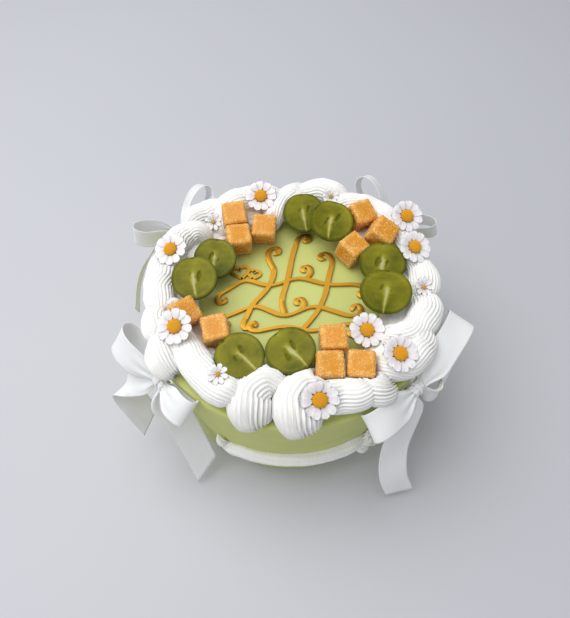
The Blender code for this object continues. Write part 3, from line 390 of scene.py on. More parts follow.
# Satin bows, in mm. Each has the angle of its knot, then its loops and its tails, in directions
# (outward, along, up), where along runs counter-clockwise.
# A loop: side of the knot, length, opening, its direction and the direction of the ribbon's width.
# A tail: side of the knot, points from the knot on, the width's direction at each, and the end's slant.
KNOT_RADIUS = 106.2 * MM
KNOT_HEIGHT = 91.5 * MM
RIBBON_GATHER_WIDTH = 7
RIBBON_GATHER_LENGTH = 17
RIBBON_CAD_THICKNESS = 0.8
RIBBON_OFF_SIDE = 0.9 * MM
TIE_CLEAR = 3.2
TIE_RADIUS = 4.9
THREAD_RADIUS = 0.5
THREAD_INSET = 0.35
THREAD_STEP = 0.62
THREAD_STEPS = 60
THREAD_SIDES = 10
THREAD_TWIST = 0.10
THREAD_TWISTS = 14
NECK_RADIUS = 4.2
NECK_INSET = 0.45
NECK_HALF_LENGTH = 4.6
NECK_RINGS = 9
NECK_SEGMENTS = 48
NECK_TURN_SHARE = 0.08
NECK_FLARE = 0.10
NECK_PLEAT = 0.10
NECK_PLEATS = 8
LOOP_SWELL = 0.75
# Heights at which loops and tails leave the knot, so that they don't meet.
LOOP_LEVELS = (0.53, 0.31)
TAIL_LEVELS = (-0.47, -0.67)
PLEAT_DEPTH = 1.0
PLEATS = 5
PLEAT_REACH = 1.5
PLEAT_PHASE = 1.3
RIBBON_RIPPLE = 0.5
RIPPLE_FROM = 12
RIPPLE_ACROSS = 1.7
RIPPLE_ALONG = 0.12
ACROSS_POINTS = 21
LOOP_STEPS = 44
TAIL_STEPS = 10
BOWS = [
    (-142.5,
     [(-1, 40, 14, (0.1, -0.97, 0.22), (0.56, 0.15, -0.81)),
      (1, 29, 9, (-0.06, 0.97, 0.12), (0.7, -0.1, -0.7))],
     [(-1, [(9, -10, -5), (18, -19, -11), (21, -19, -22), (20, -13, -36), (18, -5, -54)],
       [(0.6, 0.3, -0.7), (0.75, 0.2, -0.6), (0.9, 0.1, -0.3), (0.97, 0.0, 0.0), (0.97, -0.1, 0.1)], 16),
      (1, [(5, 8, -11), (2, 16, -26), (2, 26, -47), (3, 42, -78)],
       [(0.9, -0.1, 0.0), (1.0, -0.1, 0.0), (0.97, -0.2, -0.2), (0.95, -0.22, -0.24)], 17)]),
    (-41,
     [(1, 58, 14, (-0.1, 0.98, 0.1), (0.93, 0.2, -0.3)),
      (-1, 41, 11, (-0.16, -0.98, 0.09), (0.8, -0.05, -0.6))],
     [(-1, [(6, -10, -12), (10, -27, -34), (19, -35, -59), (29, -34, -84)],
       [(0.2, 0.9, 0.2), (0.5, 0.8, 0.1), (0.6, 0.8, 0.0), (0.66, 0.75, 0.0)], 4),
      (1, [(9, 10, -9), (9, 26, -17), (8, 43, -22)],
       [(0.1, 0.3, -0.9), (0.1, 0.3, -0.95), (0.1, 0.3, -0.95)], 8)]),
    (43,
     [(1, 38, 13, (0.1, 0.86, 0.5), (0.78, 0.24, -0.58)),
      (-1, 34, 9, (0.5, -0.84, 0.18), (0.4, 0.0, -0.92))],
     [(-1, [(8, -11, -10), (15, -22, -34), (22, -30, -60), (26, -34, -82)],
       [(0.2, 0.9, 0.2), (0.4, 0.9, 0.1), (0.3, 0.9, 0.0), (0.3, 0.9, 0.0)], 12),
      (1, [(9, 14, -9), (14, 22, -32), (20, 29, -56)],
       [(-0.2, 0.9, 0.2), (-0.4, 0.9, 0.1), (-0.3, 0.9, 0.0)], 12)]),
    (143,
     [(-1, 37, 12, (0.07, -0.89, 0.46), (0.74, -0.26, -0.62)),
      (1, 33, 9, (0.62, 0.75, 0.2), (-0.4, -0.3, 0.86))],
     [(1, [(10, 13, -9), (15, 28, -20), (12, 44, -32), (6, 58, -50)],
       [(0.4, -0.4, -0.8), (0.5, -0.5, -0.7), (0.5, -0.5, -0.7), (0.4, -0.5, -0.7)], 10),
      (-1, [(8, -9, -10), (13, -20, -34), (19, -28, -60), (23, -31, -80)],
       [(0.2, 0.9, 0.2), (0.4, 0.9, 0.1), (0.3, 0.9, 0.0), (0.3, 0.9, 0.0)], 12)]),
]


def linear(colour):
    """Linear RGBA of an sRGB hex colour."""
    channels = [int(colour[i:i + 2], 16) / 255 for i in (1, 3, 5)]
    return (*[c / 12.92 if c <= 0.04045 else ((c + 0.055) / 1.055) ** 2.4 for c in channels], 1.0)


def tinted(colour, share):
    """RGBA of a setting's linear colour made darker or lighter by a share."""
    return (*[min(c * share, 1.0) for c in colour], 1.0)


def add(tree, kind, inputs=(), output=0, stops=(), **settings):
    """Add a node with its settings, a value or a link for each socket and a ramp's stops; gives an output.

    A node that works out something has its operation after its kind.
    """
    kind, _, operation = kind.partition(".")
    node = tree.nodes.new(kind)
    if operation:
        node.operation = operation
    for name, value in settings.items():
        setattr(node, name, value)
    for name, value in inputs.items() if isinstance(inputs, dict) else enumerate(inputs):
        if isinstance(value, bpy.types.NodeSocket):
            tree.links.new(value, node.inputs[name])
        else:
            node.inputs[name].default_value = value
    if stops:
        elements = node.color_ramp.elements
        while len(elements) < len(stops):
            elements.new(0.5)
        for element, (place, colour) in zip(elements, stops):
            element.position = place
            element.color = colour
    return node.outputs[output] if node.outputs else None


def blend(low, high, share):
    """Value between low and high."""
    return low + (high - low) * share


def smooth_step(share):
    """Ease from 0 to 1."""
    share = min(max(share, 0.0), 1.0)
    return share * share * (3 - 2 * share)


def turns(count):
    """Angles in radians of even steps round a full turn."""
    return [FULL_TURN * k / count for k in range(count)]


def bell(offset, width):
    """Bell curve, 1 at no offset."""
    return math.exp(-((offset / width) ** 2))


def cloud(x, y, z):
    """Soft noise round 0 at a place."""
    return noise.noise(Vector((x, y, z)))


def circle_point(reach, turn, height=0.0):
    """Point at a reach and an angle in radians round +Z."""
    return Vector((reach * math.cos(turn), reach * math.sin(turn), height))


def polar(radius, degrees, height=0.0):
    """Point at a radius and an angle in degrees round the cake's axis."""
    return circle_point(radius, math.radians(degrees), height)


def spline(points, steps):
    """Points on a Catmull-Rom curve through the given ones."""
    ends = [points[0] * 2 - points[1]] + list(points) + [points[-1] * 2 - points[-2]]
    curve = []
    for i in range(len(points) - 1):
        a, b, c, d = ends[i:i + 4]
        for k in range(steps):
            t = k / steps
            curve.append((b * 2 + (c - a) * t + (a * 2 - b * 5 + c * 4 - d) * t * t
                          + (b * 3 - a - c * 3 + d) * t ** 3) * 0.5)
    curve.append(points[-1].copy())
    return curve


def lengths_along(curve):
    """Distance from the start to each point of a polyline."""
    lengths = [0.0]
    for a, b in zip(curve, curve[1:]):
        lengths.append(lengths[-1] + (b - a).length)
    return lengths


def spread(curve, stations):
    """Points at the given lengths along a polyline."""
    lengths = lengths_along(curve)
    result = []
    i = 0
    for station in stations:
        while i < len(curve) - 2 and lengths[i + 1] < station:
            i += 1
        span = max(lengths[i + 1] - lengths[i], 1e-9)
        result.append(curve[i].lerp(curve[i + 1], (station - lengths[i]) / span))
    return result


def side_radius(height):
    """Radius of the cake's side at a height."""
    return blend(CAKE_RADIUS_BASE, CAKE_RADIUS_TOP, height / CAKE_HEIGHT)


def lean_matrix(lean_x, lean_y, turn):
    """Rotation that leans +Z towards (lean_x, lean_y, 1) after a turn about +Z."""
    normal = Vector((lean_x, lean_y, 1.0)).normalized()
    tilt = Vector((0, 0, 1)).rotation_difference(normal).to_matrix().to_4x4()
    return tilt @ Matrix.Rotation(math.radians(turn), 4, "Z")


def place_matrix(x, y, height, rotation):
    """Matrix that puts a piece at a place in mm over the cake's top."""
    return Matrix.Translation((x * MM, y * MM, CAKE_HEIGHT + height * MM)) @ rotation


def link(name, data):
    """Object with this data, in the scene."""
    obj = bpy.data.objects.new(name, data)
    bpy.context.scene.collection.objects.link(obj)
    return obj


def mark(mesh, name, values):
    """Store a number for each vertex of a mesh."""
    mesh.attributes.new(name, "FLOAT", "POINT").data.foreach_set("value", values)


def new_object(name, parts, material=None, uvs=(), wrapped=True):
    """Object with a smooth mesh over parts, each rows of points and whether its last row meets its first.

    Wrapped rows are rings, closed at both ends by a face or a single point. uvs has a pair for each vertex.
    """
    verts, faces = [], []
    for rows, looped in parts:
        starts = list(accumulate((len(row) for row in rows), initial=len(verts)))
        verts += [tuple(point) for row in rows for point in row]
        for i in range(len(rows) if looped else len(rows) - 1):
            j = (i + 1) % len(rows)
            here, there = len(rows[i]), len(rows[j])
            count = max(here, there)
            for k in range(count if wrapped else count - 1):
                n = (k + 1) % count
                faces.append((starts[i] + k % here, starts[i] + n % here,
                              starts[j] + n % there, starts[j] + k % there))
        if wrapped and not looped:
            faces += [range(starts[0], starts[1]), range(starts[-2], starts[-1])]
    faces = [tuple(dict.fromkeys(face)) for face in faces]
    mesh = bpy.data.meshes.new(name)
    mesh.from_pydata(verts, [], [face for face in faces if len(face) > 2])
    if wrapped:
        bm = bmesh.new()
        bm.from_mesh(mesh)
        bmesh.ops.recalc_face_normals(bm, faces=bm.faces)
        bm.to_mesh(mesh)
        bm.free()
    if uvs:
        layer = mesh.uv_layers.new(name="surface")
        for loop in mesh.loops:
            layer.data[loop.index].uv = uvs[loop.vertex_index]
    if material:
        mesh.materials.append(material)
    mesh.shade_smooth()
    return link(name, mesh)


def settle_piece(obj, node):
    """Let a finished piece stand for its CAD node."""
    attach(obj, BODY)
    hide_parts(node)


def bake(obj, name):
    """Plain mesh object of what the modifiers give; the object they were on is removed."""
    mesh = bpy.data.meshes.new_from_object(obj.evaluated_get(bpy.context.evaluated_depsgraph_get()))
    bpy.data.objects.remove(obj, do_unlink=True)
    mesh.name = name
    return link(name, mesh)


def new_tree(name, kinds):
    """Geometry Nodes tree with named inputs; gives it with what adds its nodes and its inputs' sockets."""
    tree = bpy.data.node_groups.new(name, "GeometryNodeTree")
    for socket, kind in {"Geometry": "Geometry", **kinds}.items():
        tree.interface.new_socket(socket, in_out="INPUT", socket_type="NodeSocket" + kind)
    tree.interface.new_socket("Geometry", in_out="OUTPUT", socket_type="NodeSocketGeometry")
    return tree, partial(add, tree), tree.nodes.new("NodeGroupInput").outputs


def close_tree(tree, geometry, material):
    """End a tree: realise the instances, set the material and shade smooth."""
    real = add(tree, REALISE, (geometry,))
    smooth = add(tree, "GeometryNodeSetShadeSmooth", {"Geometry": real})
    done = add(tree, SET_MATERIAL, {"Geometry": smooth, "Material": material})
    add(tree, "NodeGroupOutput", (done,))


def run_tree(obj, tree, values, name):
    """Plain mesh object that a tree makes of an object, its inputs set by their sockets' identifiers."""
    modifier = obj.modifiers.new(tree.name, "NODES")
    modifier.node_group = tree
    for item in tree.interface.items_tree:
        if item.in_out == "INPUT" and item.name in values:
            modifier[item.identifier] = values[item.name]
    return bake(obj, name)


def surface(name, colour, roughness, stops, bump, sources, glow=(), flat=False, threads=0.0, **sockets):
    """Principled material whose tone and relief are weighted sums of noises and of values on the mesh.

    A stop is its place and a colour or a share of the material's. bump is its strength and its depth
    in mm. A source is the noise's grain in mm, its repeats along each axis or the value's name, then
    its weight in the tone and in the relief and the noise's detail. glow is the subsurface weight,
    scale and radius. Flat noises lie on the piece's own UV map. threads is the distance in mm between
    threads that run along the piece.
    """
    material = bpy.data.materials.new(name)
    material.use_nodes = True
    tree = material.node_tree
    shader = tree.nodes["Principled BSDF"]
    values = {"Base Color": tinted(colour, 1.0), "Roughness": roughness, **sockets}
    values.update(zip(("Subsurface Weight", "Subsurface Scale", "Subsurface Radius"), glow))
    for socket, value in values.items():
        shader.inputs[socket.replace("_", " ")].default_value = value
    if flat:
        place = add(tree, "ShaderNodeUVMap", uv_map="surface")
    else:
        place = add(tree, "ShaderNodeTexCoord", output="Object")
    sums = [0.0, 0.0]
    for what, in_tone, in_relief, *detail in sources:
        if isinstance(what, str):
            source = add(tree, "ShaderNodeAttribute", output="Fac", attribute_name=what)
        else:
            repeats = what if isinstance(what, tuple) else (1 / (what * MM),) * 3
            drawn = add(tree, "ShaderNodeMapping", {"Vector": place, "Scale": repeats})
            fine = detail[0] if detail else NOISE_DETAIL
            source = add(tree, "ShaderNodeTexNoise", {"Vector": drawn, "Scale": 1.0, "Detail": fine})
        for i, weight in enumerate((in_tone, in_relief)):
            if weight:
                sums[i] = add(tree, TIMES_PLUS, (source, weight, sums[i]))
    if threads:
        woven = {"Vector": place, "Scale": WAVE_LENGTH / (threads * MM), "Distortion": 1.5}
        weave = add(tree, "ShaderNodeTexWave", woven, output="Fac", bands_direction="Y")
        sums[1] = add(tree, TIMES_PLUS, (weave, THREAD_RELIEF, sums[1]))
    colours = [(at, tone if isinstance(tone, tuple) else tinted(colour, tone)) for at, tone in stops]
    tone = add(tree, "ShaderNodeValToRGB", (sums[0],), stops=colours)
    strength, depth = bump
    relief = add(tree, "ShaderNodeBump", {"Strength": strength, "Distance": depth * MM, "Height": sums[1]})
    tree.links.new(tone, shader.inputs["Base Color"])
    tree.links.new(relief, shader.inputs["Normal"])
    return material


def colour_setting(name, description, colour):
    """Setting of a colour, from its sRGB hex value."""
    return FloatVectorProperty(name=name, description=description, default=linear(colour)[:3], min=0.0,
                               max=1.0, subtype="COLOR")


def length_setting(name, description, default, low, high):
    """Setting of a length, from values in mm."""
    return FloatProperty(name=name, description=description, default=default * MM, min=low * MM,
                         max=high * MM, unit="LENGTH")


class CoatSettings(bpy.types.PropertyGroup):
    """The smooth coat of the cake."""

    edge_round: length_setting("Edge round", "Radius of the crisp top edge", 2.2, 0.5, 10)
    waviness: length_setting("Waviness", "How uneven the palette knife left the coat", 0.35, 0, 2)
    colour: colour_setting("Colour", "Pale green of the coat", "#C5CB73")


class PipingSettings(bpy.types.PropertyGroup):
    """The piped whipped cream."""

    ridges: IntProperty(name="Ridges", description="Ridges round a stroke", default=27, min=4, max=40)
    groove: FloatProperty(name="Groove", description="Depth of the grooves as a share of the radius",
                          default=0.07, min=0.0, max=0.4, subtype="FACTOR")
    spacing: length_setting("Ring spacing", "Distance between the rings of a stroke", 1.4, 0.5, 5)
    unevenness: length_setting("Unevenness", "How far the cream swells and sinks", 0.7, 0, 3)
    colour: colour_setting("Colour", "White of the cream", "#F8F7F3")


class FruitSettings(bpy.types.PropertyGroup):
    """The halved grapes and the sugared jelly."""

    flesh: colour_setting("Grape flesh", "Middle tone of the cut face", "#7D7A1B")
    skin: colour_setting("Grape skin", "Green of the skin", "#555B08")
    jelly: colour_setting("Jelly", "Orange of the fruit jelly", "#E09412")
    grain: length_setting("Sugar grain", "Size of a grain of sugar", 0.4, 0.2, 2)
    grains: FloatProperty(name="Grain density", description="Grains of sugar on a square metre",
                          default=3.0e5, min=0.0, max=3e6)
    seed: IntProperty(name="Seed", description="Changes where the grains lie", default=4)


class FlowerSettings(bpy.types.PropertyGroup):
    """The daisies."""

    petal: colour_setting("Petal", "White of the petals", "#F2EFF1")
    centre: colour_setting("Centre", "Orange yellow of the centre", "#F0AC1A")
    small_centre: colour_setting("Small centre", "Yellow of the small daisies' centre", "#F0C437")
    scatter: FloatProperty(name="Scatter", description="How unevenly the petals are set",
                           default=math.radians(3), min=0.0, max=0.5, subtype="ANGLE")


class TrimSettings(bpy.types.PropertyGroup):
    """The gilt ornament and the bows."""

    gilt: colour_setting("Gilt", "Gold of the mirror sheet", "#CC9A36")
    satin: colour_setting("Satin", "White of the ribbon", "#F1F1F0")
    ribbon_width: length_setting("Ribbon width", "Width of the satin ribbon", 20, 5, 60)
    ribbon_thickness: length_setting("Ribbon thickness", "Thickness of the satin", 0.3, 0.1, 1)


class StageSettings(bpy.types.PropertyGroup):
    """Floor and lights."""

    floor: colour_setting("Floor", "Colour of the floor", "#C2C3C9")
    key: FloatProperty(name="Key light", description="Power of the large soft light overhead",
                       default=16.5, min=0.0, unit="POWER")
    fill: FloatProperty(name="Fill light", description="Power of the soft light from the front",
                        default=3.0, min=0.0, unit="POWER")
    sky: FloatProperty(name="Sky", description="Strength of the light from all round", default=0.51,
                       min=0.0)


class CakeSettings(bpy.types.PropertyGroup):
    """All settings of the cake."""

    coat: PointerProperty(type=CoatSettings)
    piping: PointerProperty(type=PipingSettings)
    fruit: PointerProperty(type=FruitSettings)
    flowers: PointerProperty(type=FlowerSettings)
    trim: PointerProperty(type=TrimSettings)
    stage: PointerProperty(type=StageSettings)


def coat_material(colour):
    """Buttercream drawn smooth with a palette knife: soft gloss, faint level strokes and a few pits."""
    level_strokes = (1 / (85.7 * MM), 1 / (85.7 * MM), 1 / (10 * MM))
    return surface("smoothed_buttercream", colour, 0.46, ((0.35, 0.95), (0.65, 1.03)), (0.5, 0.5),
                   ((level_strokes, 1, 1, 3.0), (1.6, 0, 0.12)), glow=(0.15, 4 * MM))


def cream_material(name, colour):
    """Whipped cream from a star nozzle: light goes a little way in, and its skin is finely porous."""
    return surface(name, colour, 0.46, ((0.3, 0.97), (0.7, 1.0)), (0.35, 0.15),
                   ((9, 1, 0), (1.1, 0, 1, 3.0)), glow=(0.25, 2 * MM, (1.0, 0.9, 0.8)))


def grape_material(flesh, skin):
    """Cut green grape: wet flesh with pale veins and core, a pale ring near the rim that is a painted
    highlight, darker seed hollows and rim, thin skin.
    """
    stops = ((0.10, tinted(skin, 0.45)), (0.32, tinted(skin, 1.0)), (0.56, 1.0), (0.74, 1.4),
             (0.95, linear("#C4C08C")))
    return surface("cut_green_grape", flesh, 0.38, stops, (0.35, 0.4),
                   ((2.2, 0.18, 0.18, 4.0), ("tone", 1, 1)), glow=(0.25, 3 * MM, (1.0, 1.0, 0.35)),
                   IOR=1.36, Specular_IOR_Level=0.22)


def jelly_material(colour):
    """Fruit jelly rolled in sugar: glowing orange under fine white crystals, thickest along its edges,
    where the tone is lighter: partly the thicker sugar, partly a painted highlight.
    """
    stops = ((0.34, 0.92), (0.52, 1.0), (0.65, linear("#EFB95C")), (0.78, linear("#F8E0B2")))
    # The edge value lightens the tone along the edges: partly the thicker sugar, partly a painted highlight
    # on them.
    return surface("sugared_fruit_jelly", colour, 0.5, stops, (0.5, 0.3),
                   ((0.9, 0.6, 1), (5, 0.35, 0), ("edge", 0.09, 0)), glow=(0.25, 2 * MM, (1.0, 0.5, 0.12)))


def sugar_material():
    """Coarse white sugar: small clear crystals that read as white, a little of the jelly in them."""
    return surface("white_sugar_crystals", (1.0, 0.9, 0.75), 0.3,
                   ((0.35, linear("#F6D9A0")), (0.60, linear("#FFFBF2"))), (0.2, 0.1), ((2, 1, 1, 3.0),),
                   glow=(0.3, 0.6 * MM), IOR=1.54)


def petal_material(colour):
    """Thin gum-paste petals, faintly veined from the middle out, greyer and darker towards the middle, and
    a little pink where light goes into them.
    """
    # The veins lie 0.4 mm apart across a petal, whose own map is one unit wide.
    veins = (1.8, 13.5, 1.5)
    stops = ((0.15, linear("#C9C0AE")), (0.38, linear("#E6DFE0")), (0.7, 1.0))
    return surface("gum_paste_petal", colour, 0.55, stops, (0.3, 0.2),
                   ((veins, 0.4, 1), ("reach", 0.6, 0)), glow=(0.2, 1 * MM, (1.0, 0.85, 0.85)), flat=True)


def calyx_material():
    """Dark green paste under the petals, which shows as ticks between them."""
    return surface("green_calyx_paste", linear("#5E6630")[:3], 0.7,
                   ((0.3, linear("#4B5226")), (0.7, linear("#757A42"))), (0.3, 0.2), ((1.2, 1, 1),))


def centre_material(name, colour):
    """Grained paste of a daisy's middle, with painted shade on the dome between its pips."""
    # The pips are lighter than the dome between them, which is painted shade.
    return surface(name, colour, 0.65, ((0.15, 0.5), (0.5, 1.0), (0.9, 1.25)), (0.4, 0.15),
                   ((0.7, 0.4, 1), ("pip_height", 0.55, 0)), glow=(0.15, 1 * MM))


def gilt_material(colour):
    """Gold mirror sheet, cut out: a metal film, a little misted, so that it takes the light evenly."""
    return surface("gold_mirror_sheet", colour, 0.52, ((0.3, 0.9), (0.7, 1.0)), (0.15, 0.4),
                   ((12, 1, 1),), Metallic=1.0)


def satin_material(colour):
    """Woven satin ribbon: warp threads along it give a silky sheen that runs with the ribbon, partly from
    the shader and partly painted in lighter streaks.
    """
    # Real threads lie 0.12 mm apart; they are drawn 1.4 mm apart, so that the weave shows.
    # The streaks' lighter tone is a painted sheen along the ribbon; their relief is the weave.
    sheen_streaks = (1 / (40 * MM), 1 / (1.11 * MM), 1.0)
    return surface("woven_satin_ribbon", colour, 0.38, ((0.3, 0.97), (0.6, 1.0)), (0.05, 0.1),
                   ((sheen_streaks, 1, 1),), glow=(0.1, 1 * MM), flat=True, threads=1.4,
                   Sheen_Weight=0.25, Sheen_Roughness=0.4, Anisotropic=0.5)


def floor_material(colour):
    """Matt paint of the pale floor, with a little cloud in its tone."""
    return surface("matt_floor_paint", colour, 0.5, ((0.3, 0.98), (0.7, 1.0)), (0.05, 0.2),
                   ((400, 1, 0), (2, 0, 1)))


def coat_rings(edge):
    """Profile of the coat from its foot to the middle of its top as (radius, height)."""
    profile = [(CAKE_RADIUS_BASE - inside * MM, height * MM) for inside, height in COAT_FOOT]
    foot = profile[-1][1]
    for k in range(1, COAT_SIDE_RINGS):
        height = blend(foot, CAKE_HEIGHT - edge, k / COAT_SIDE_RINGS)
        profile.append((side_radius(height), height))
    for k in range(COAT_EDGE_RINGS + 1):
        turn = math.pi / 2 * k / COAT_EDGE_RINGS
        inside, down = edge * (1 - math.cos(turn)), edge * (1 - math.sin(turn))
        profile.append((CAKE_RADIUS_TOP - inside, CAKE_HEIGHT - down))
    flat = profile[-1][0]
    return profile + [(flat * (1 - k / COAT_TOP_RINGS), CAKE_HEIGHT) for k in range(1, COAT_TOP_RINGS)]


def coat_point(radius, turn, height, waviness):
    """Point of the coat, a little off where the knife left its side, its edge and its top uneven."""
    point = circle_point(radius, turn, height)
    swell = waviness * cloud(*(c * waves for c, waves in zip(point, COAT_WAVES)))
    lip = LIP_SIZE * waviness * cloud(*circle_point(LIP_WAVES, turn, 3))
    near_edge = bell(CAKE_HEIGHT - height, LIP_REACH)
    near_edge *= smooth_step((radius / CAKE_RADIUS_TOP - LIP_FROM) / LIP_WIDTH)
    if height > 1 * MM and radius > 0.9 * CAKE_RADIUS_BASE:
        point = circle_point(radius + swell - COAT_SINK * waviness + lip * near_edge, turn, height)
    if radius > 0.8 * CAKE_RADIUS_TOP:
        point.z = max(point.z - max(lip, 0.0) * near_edge, 0.0)
    elif height >= CAKE_HEIGHT:
        point.z -= COAT_TOP_SHARE * abs(swell)
    return point


def make_coat(settings):
    """Turned coat, a little uneven where the palette knife went round."""
    rows = [[Vector((0, 0, 0))]]
    for radius, height in coat_rings(settings.edge_round):
        rows.append([coat_point(radius, turn, height, settings.waviness) for turn in turns(COAT_SEGMENTS)])
    rows.append([Vector((0, 0, CAKE_HEIGHT))])
    coat = new_object("smooth_coat", [(rows, False)], coat_material(settings.colour))
    settle_piece(coat, "cake_body")


def stroke_radius(along, length, fat, thin):
    """Radius of a piped stroke at a distance along it: round nose, slow taper, drawn-out tail."""
    nose = math.sqrt(max(1 - (1 - min(along / fat, 1.0)) ** 2, 0.0))
    body = blend(fat, thin, smooth_step(along / length))
    left = min((length - along) / STROKE_TAIL, 1.0)
    return nose * body * blend(STROKE_TAIL_SHARE, 1.0, math.sin(left * math.pi / 2))


def stroke_path(points, fat, thin, droop, spacing, seed):
    """Axis of a stroke as (point, radius, height share, twist, nose cut) from its fat end on."""
    twist = ROSETTE_TWIST if fat >= ROSETTE_FROM else STROKE_TWIST * math.sin(seed * 2.4)
    fat, thin, droop = fat * MM, thin * MM, droop * MM
    curve = spline([polar(radius * MM, degrees) for radius, degrees in points], STROKE_STEPS)
    length = lengths_along(curve)[-1]
    nose = [math.pi / 2 * k / STROKE_NOSE_RINGS for k in range(1, STROKE_NOSE_RINGS + 1)]
    stations = [fat * (1 - math.cos(turn)) for turn in nose]
    rings = max(round((length - fat) / spacing), 4)
    stations += [fat + (length - fat) * k / rings for k in range(1, rings + 1)]
    path = []
    for point, along in zip(spread(curve, stations), stations):
        surge = 1 + SURGE * cloud(along / SURGE_LENGTH, seed, 0.5)
        sway = SWAY * cloud(along / SWAY_LENGTH, seed, 7.5)
        radius = stroke_radius(along, length, fat, thin) * surge
        flat = blend(STROKE_FLATNESS, 1.0, smooth_step(along / length))
        hang = droop * (1 - smooth_step(along / (DROOP_REACH * fat)))
        seat = STROKE_SEAT * (max(radius * flat, 0.5 * fat) if along < fat else radius * flat)
        axis = Vector((point.x, point.y, CAKE_HEIGHT + seat - hang))
        cut = NOSE_CUT * fat * (1 - smooth_step(along / (NOSE_REACH * fat)))
        path.append((axis, radius, flat, twist * along / length + sway, cut))
    return path


def path_object(paths, closed=False):
    """Polylines with the radius, height share, twist, nose cut and height of what is swept along them."""
    verts, edges, facts = [], [], []
    for path in paths:
        first = len(verts)
        verts += [tuple(step[0]) for step in path]
        facts += [(*step[1:], step[0].z) for step in path]
        edges += [(first + k, first + k + 1) for k in range(len(path) - 1)]
        if closed:
            edges.append((len(verts) - 1, first))
    mesh = bpy.data.meshes.new("paths")
    mesh.from_pydata(verts, edges, [])
    for name, values in zip(SWEPT_FACTS, zip(*facts)):
        mark(mesh, name, values)
    return link("paths", mesh)


def piping_tree(material):
    """Sweep a ridged star section along polylines, as a star nozzle does."""
    kinds = {"Ridges": "Int", "Groove": "Float", "Unevenness": "Float", "Seed": "Float"}
    tree, node, given = new_tree("piped_cream", kinds)
    radius, height_share, twist, nose_cut, axis_height, low = [
        node(NAMED_VALUE, {"Name": name}) for name in (*SWEPT_FACTS, "valley")]
    place = node("GeometryNodeInputPosition")
    outward = node("GeometryNodeInputNormal")
    # The star: a circle whose points lie lower between the ridges.
    points = node(TIMES, (given["Ridges"], POINTS_A_RIDGE))
    circle = node("GeometryNodeCurvePrimitiveCircle", {"Resolution": points})
    index = node("GeometryNodeInputIndex")
    phase = node(TIMES, (index, math.pi / POINTS_A_RIDGE))
    wave = node("ShaderNodeMath.SINE", (phase,))
    crest = node("ShaderNodeMath.ABSOLUTE", (wave,))
    valley = node(MINUS, (1.0, crest))
    cut = node(TIMES, (given["Groove"], valley))
    reach = node(MINUS, (1.0, cut))
    star_place = node(SCALED, {"Vector": place, "Scale": reach})
    marked = node(STORE_VALUE, {"Geometry": circle, "Name": "valley", "Value": valley})
    star = node(SET_POSITION, {"Geometry": marked, "Position": star_place})
    line = node("GeometryNodeMeshToCurve", {"Mesh": given["Geometry"]})
    upright = node("GeometryNodeSetCurveNormal", {"Curve": line}, mode="Z_UP")
    turned = node("GeometryNodeSetCurveTilt", {"Curve": upright, "Tilt": twist})
    swept = node("GeometryNodeCurveToMesh",
                 {"Curve": turned, "Profile Curve": star, "Scale": radius, "Fill Caps": True})
    # The sweep is lowered towards its axis.
    level = node("ShaderNodeSeparateXYZ", (place,), output="Z")
    above = node(MINUS, (level, axis_height))
    share = node(MINUS, (height_share, 1.0))
    lowered = node(TIMES, (above, share))
    shift = node("ShaderNodeCombineXYZ", {"Z": lowered})
    body = node(SET_POSITION, {"Geometry": swept, "Offset": shift})
    # At the nose the valleys are deeper, so that the ridges end in teeth.
    dip = node(TIMES, (low, nose_cut))
    amounts = [node(TIMES, (dip, -1.0))]
    # Soft cream swells and sinks, coarsely and finely.
    for scale, strength in SWELLS:
        swirl = node("ShaderNodeTexNoise", {"Vector": place, "W": given["Seed"], "Scale": scale},
                     noise_dimensions="4D")
        swing = node(MINUS, (swirl, 0.5))
        uneven = node(TIMES, (swing, given["Unevenness"]))
        amounts.append(node(TIMES, (uneven, strength)))
    for amount in amounts:
        shift = node(SCALED, {"Vector": outward, "Scale": amount})
        body = node(SET_POSITION, {"Geometry": body, "Offset": shift})
    close_tree(tree, body, material)
    return tree


def topping_hulls():
    """Convex hull of each topping, a little wider than it is, with its low and high corner."""
    hulls = []
    for name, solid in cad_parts.items():
        if not name.startswith(("grape_half", "jelly_cube", "daisy_petals", "small_daisy")):
            continue
        bm = bmesh.new()
        bm.from_mesh(solid.data)
        result = bmesh.ops.convex_hull(bm, input=bm.verts)
        spare = [v for v in result["geom_interior"] if isinstance(v, bmesh.types.BMVert)]
        bmesh.ops.delete(bm, geom=spare, context="VERTS")
        middle = sum((v.co for v in bm.verts), Vector()) / len(bm.verts)
        for vert in bm.verts:
            vert.co.xy = middle.xy + (vert.co - middle).xy * PRESS_GROW
        corners = np.array([v.co for v in bm.verts])
        hulls.append((BVHTree.FromBMesh(bm), corners.min(axis=0), corners.max(axis=0)))
        bm.free()
    return hulls


def press_down(mesh, hulls):
    """Press the cream down under each topping that lies on it."""
    coords = np.empty(len(mesh.vertices) * 3, np.float32)
    mesh.vertices.foreach_get("co", coords)
    coords = coords.reshape(-1, 3)
    flat = coords[:, :2]
    for tree, low, high in hulls:
        over = (flat > low[:2]).all(axis=1) & (flat < high[:2]).all(axis=1)
        over &= coords[:, 2] > low[2] - PRESS_GAP
        for i in np.nonzero(over)[0]:
            x, y, z = (float(c) for c in coords[i])
            hit = tree.ray_cast(Vector((x, y, 0.0)), Vector((0, 0, 1)))[0]
            if hit is not None and z > hit.z - PRESS_GAP:
                coords[i, 2] = hit.z - PRESS_GAP
    mesh.vertices.foreach_set("co", coords.ravel())
    mesh.update()


def bed_path():
    """Axis of the low bed of cream round the top."""
    path = []
    for turn in turns(BED_RINGS):
        axis = circle_point(BED_RADIUS + BED_WAVE * math.sin(5 * turn), turn, CAKE_HEIGHT)
        path.append((axis, BED_HALF_WIDTH, BED_HEIGHT / BED_HALF_WIDTH, 0.0, 0.0))
    return path


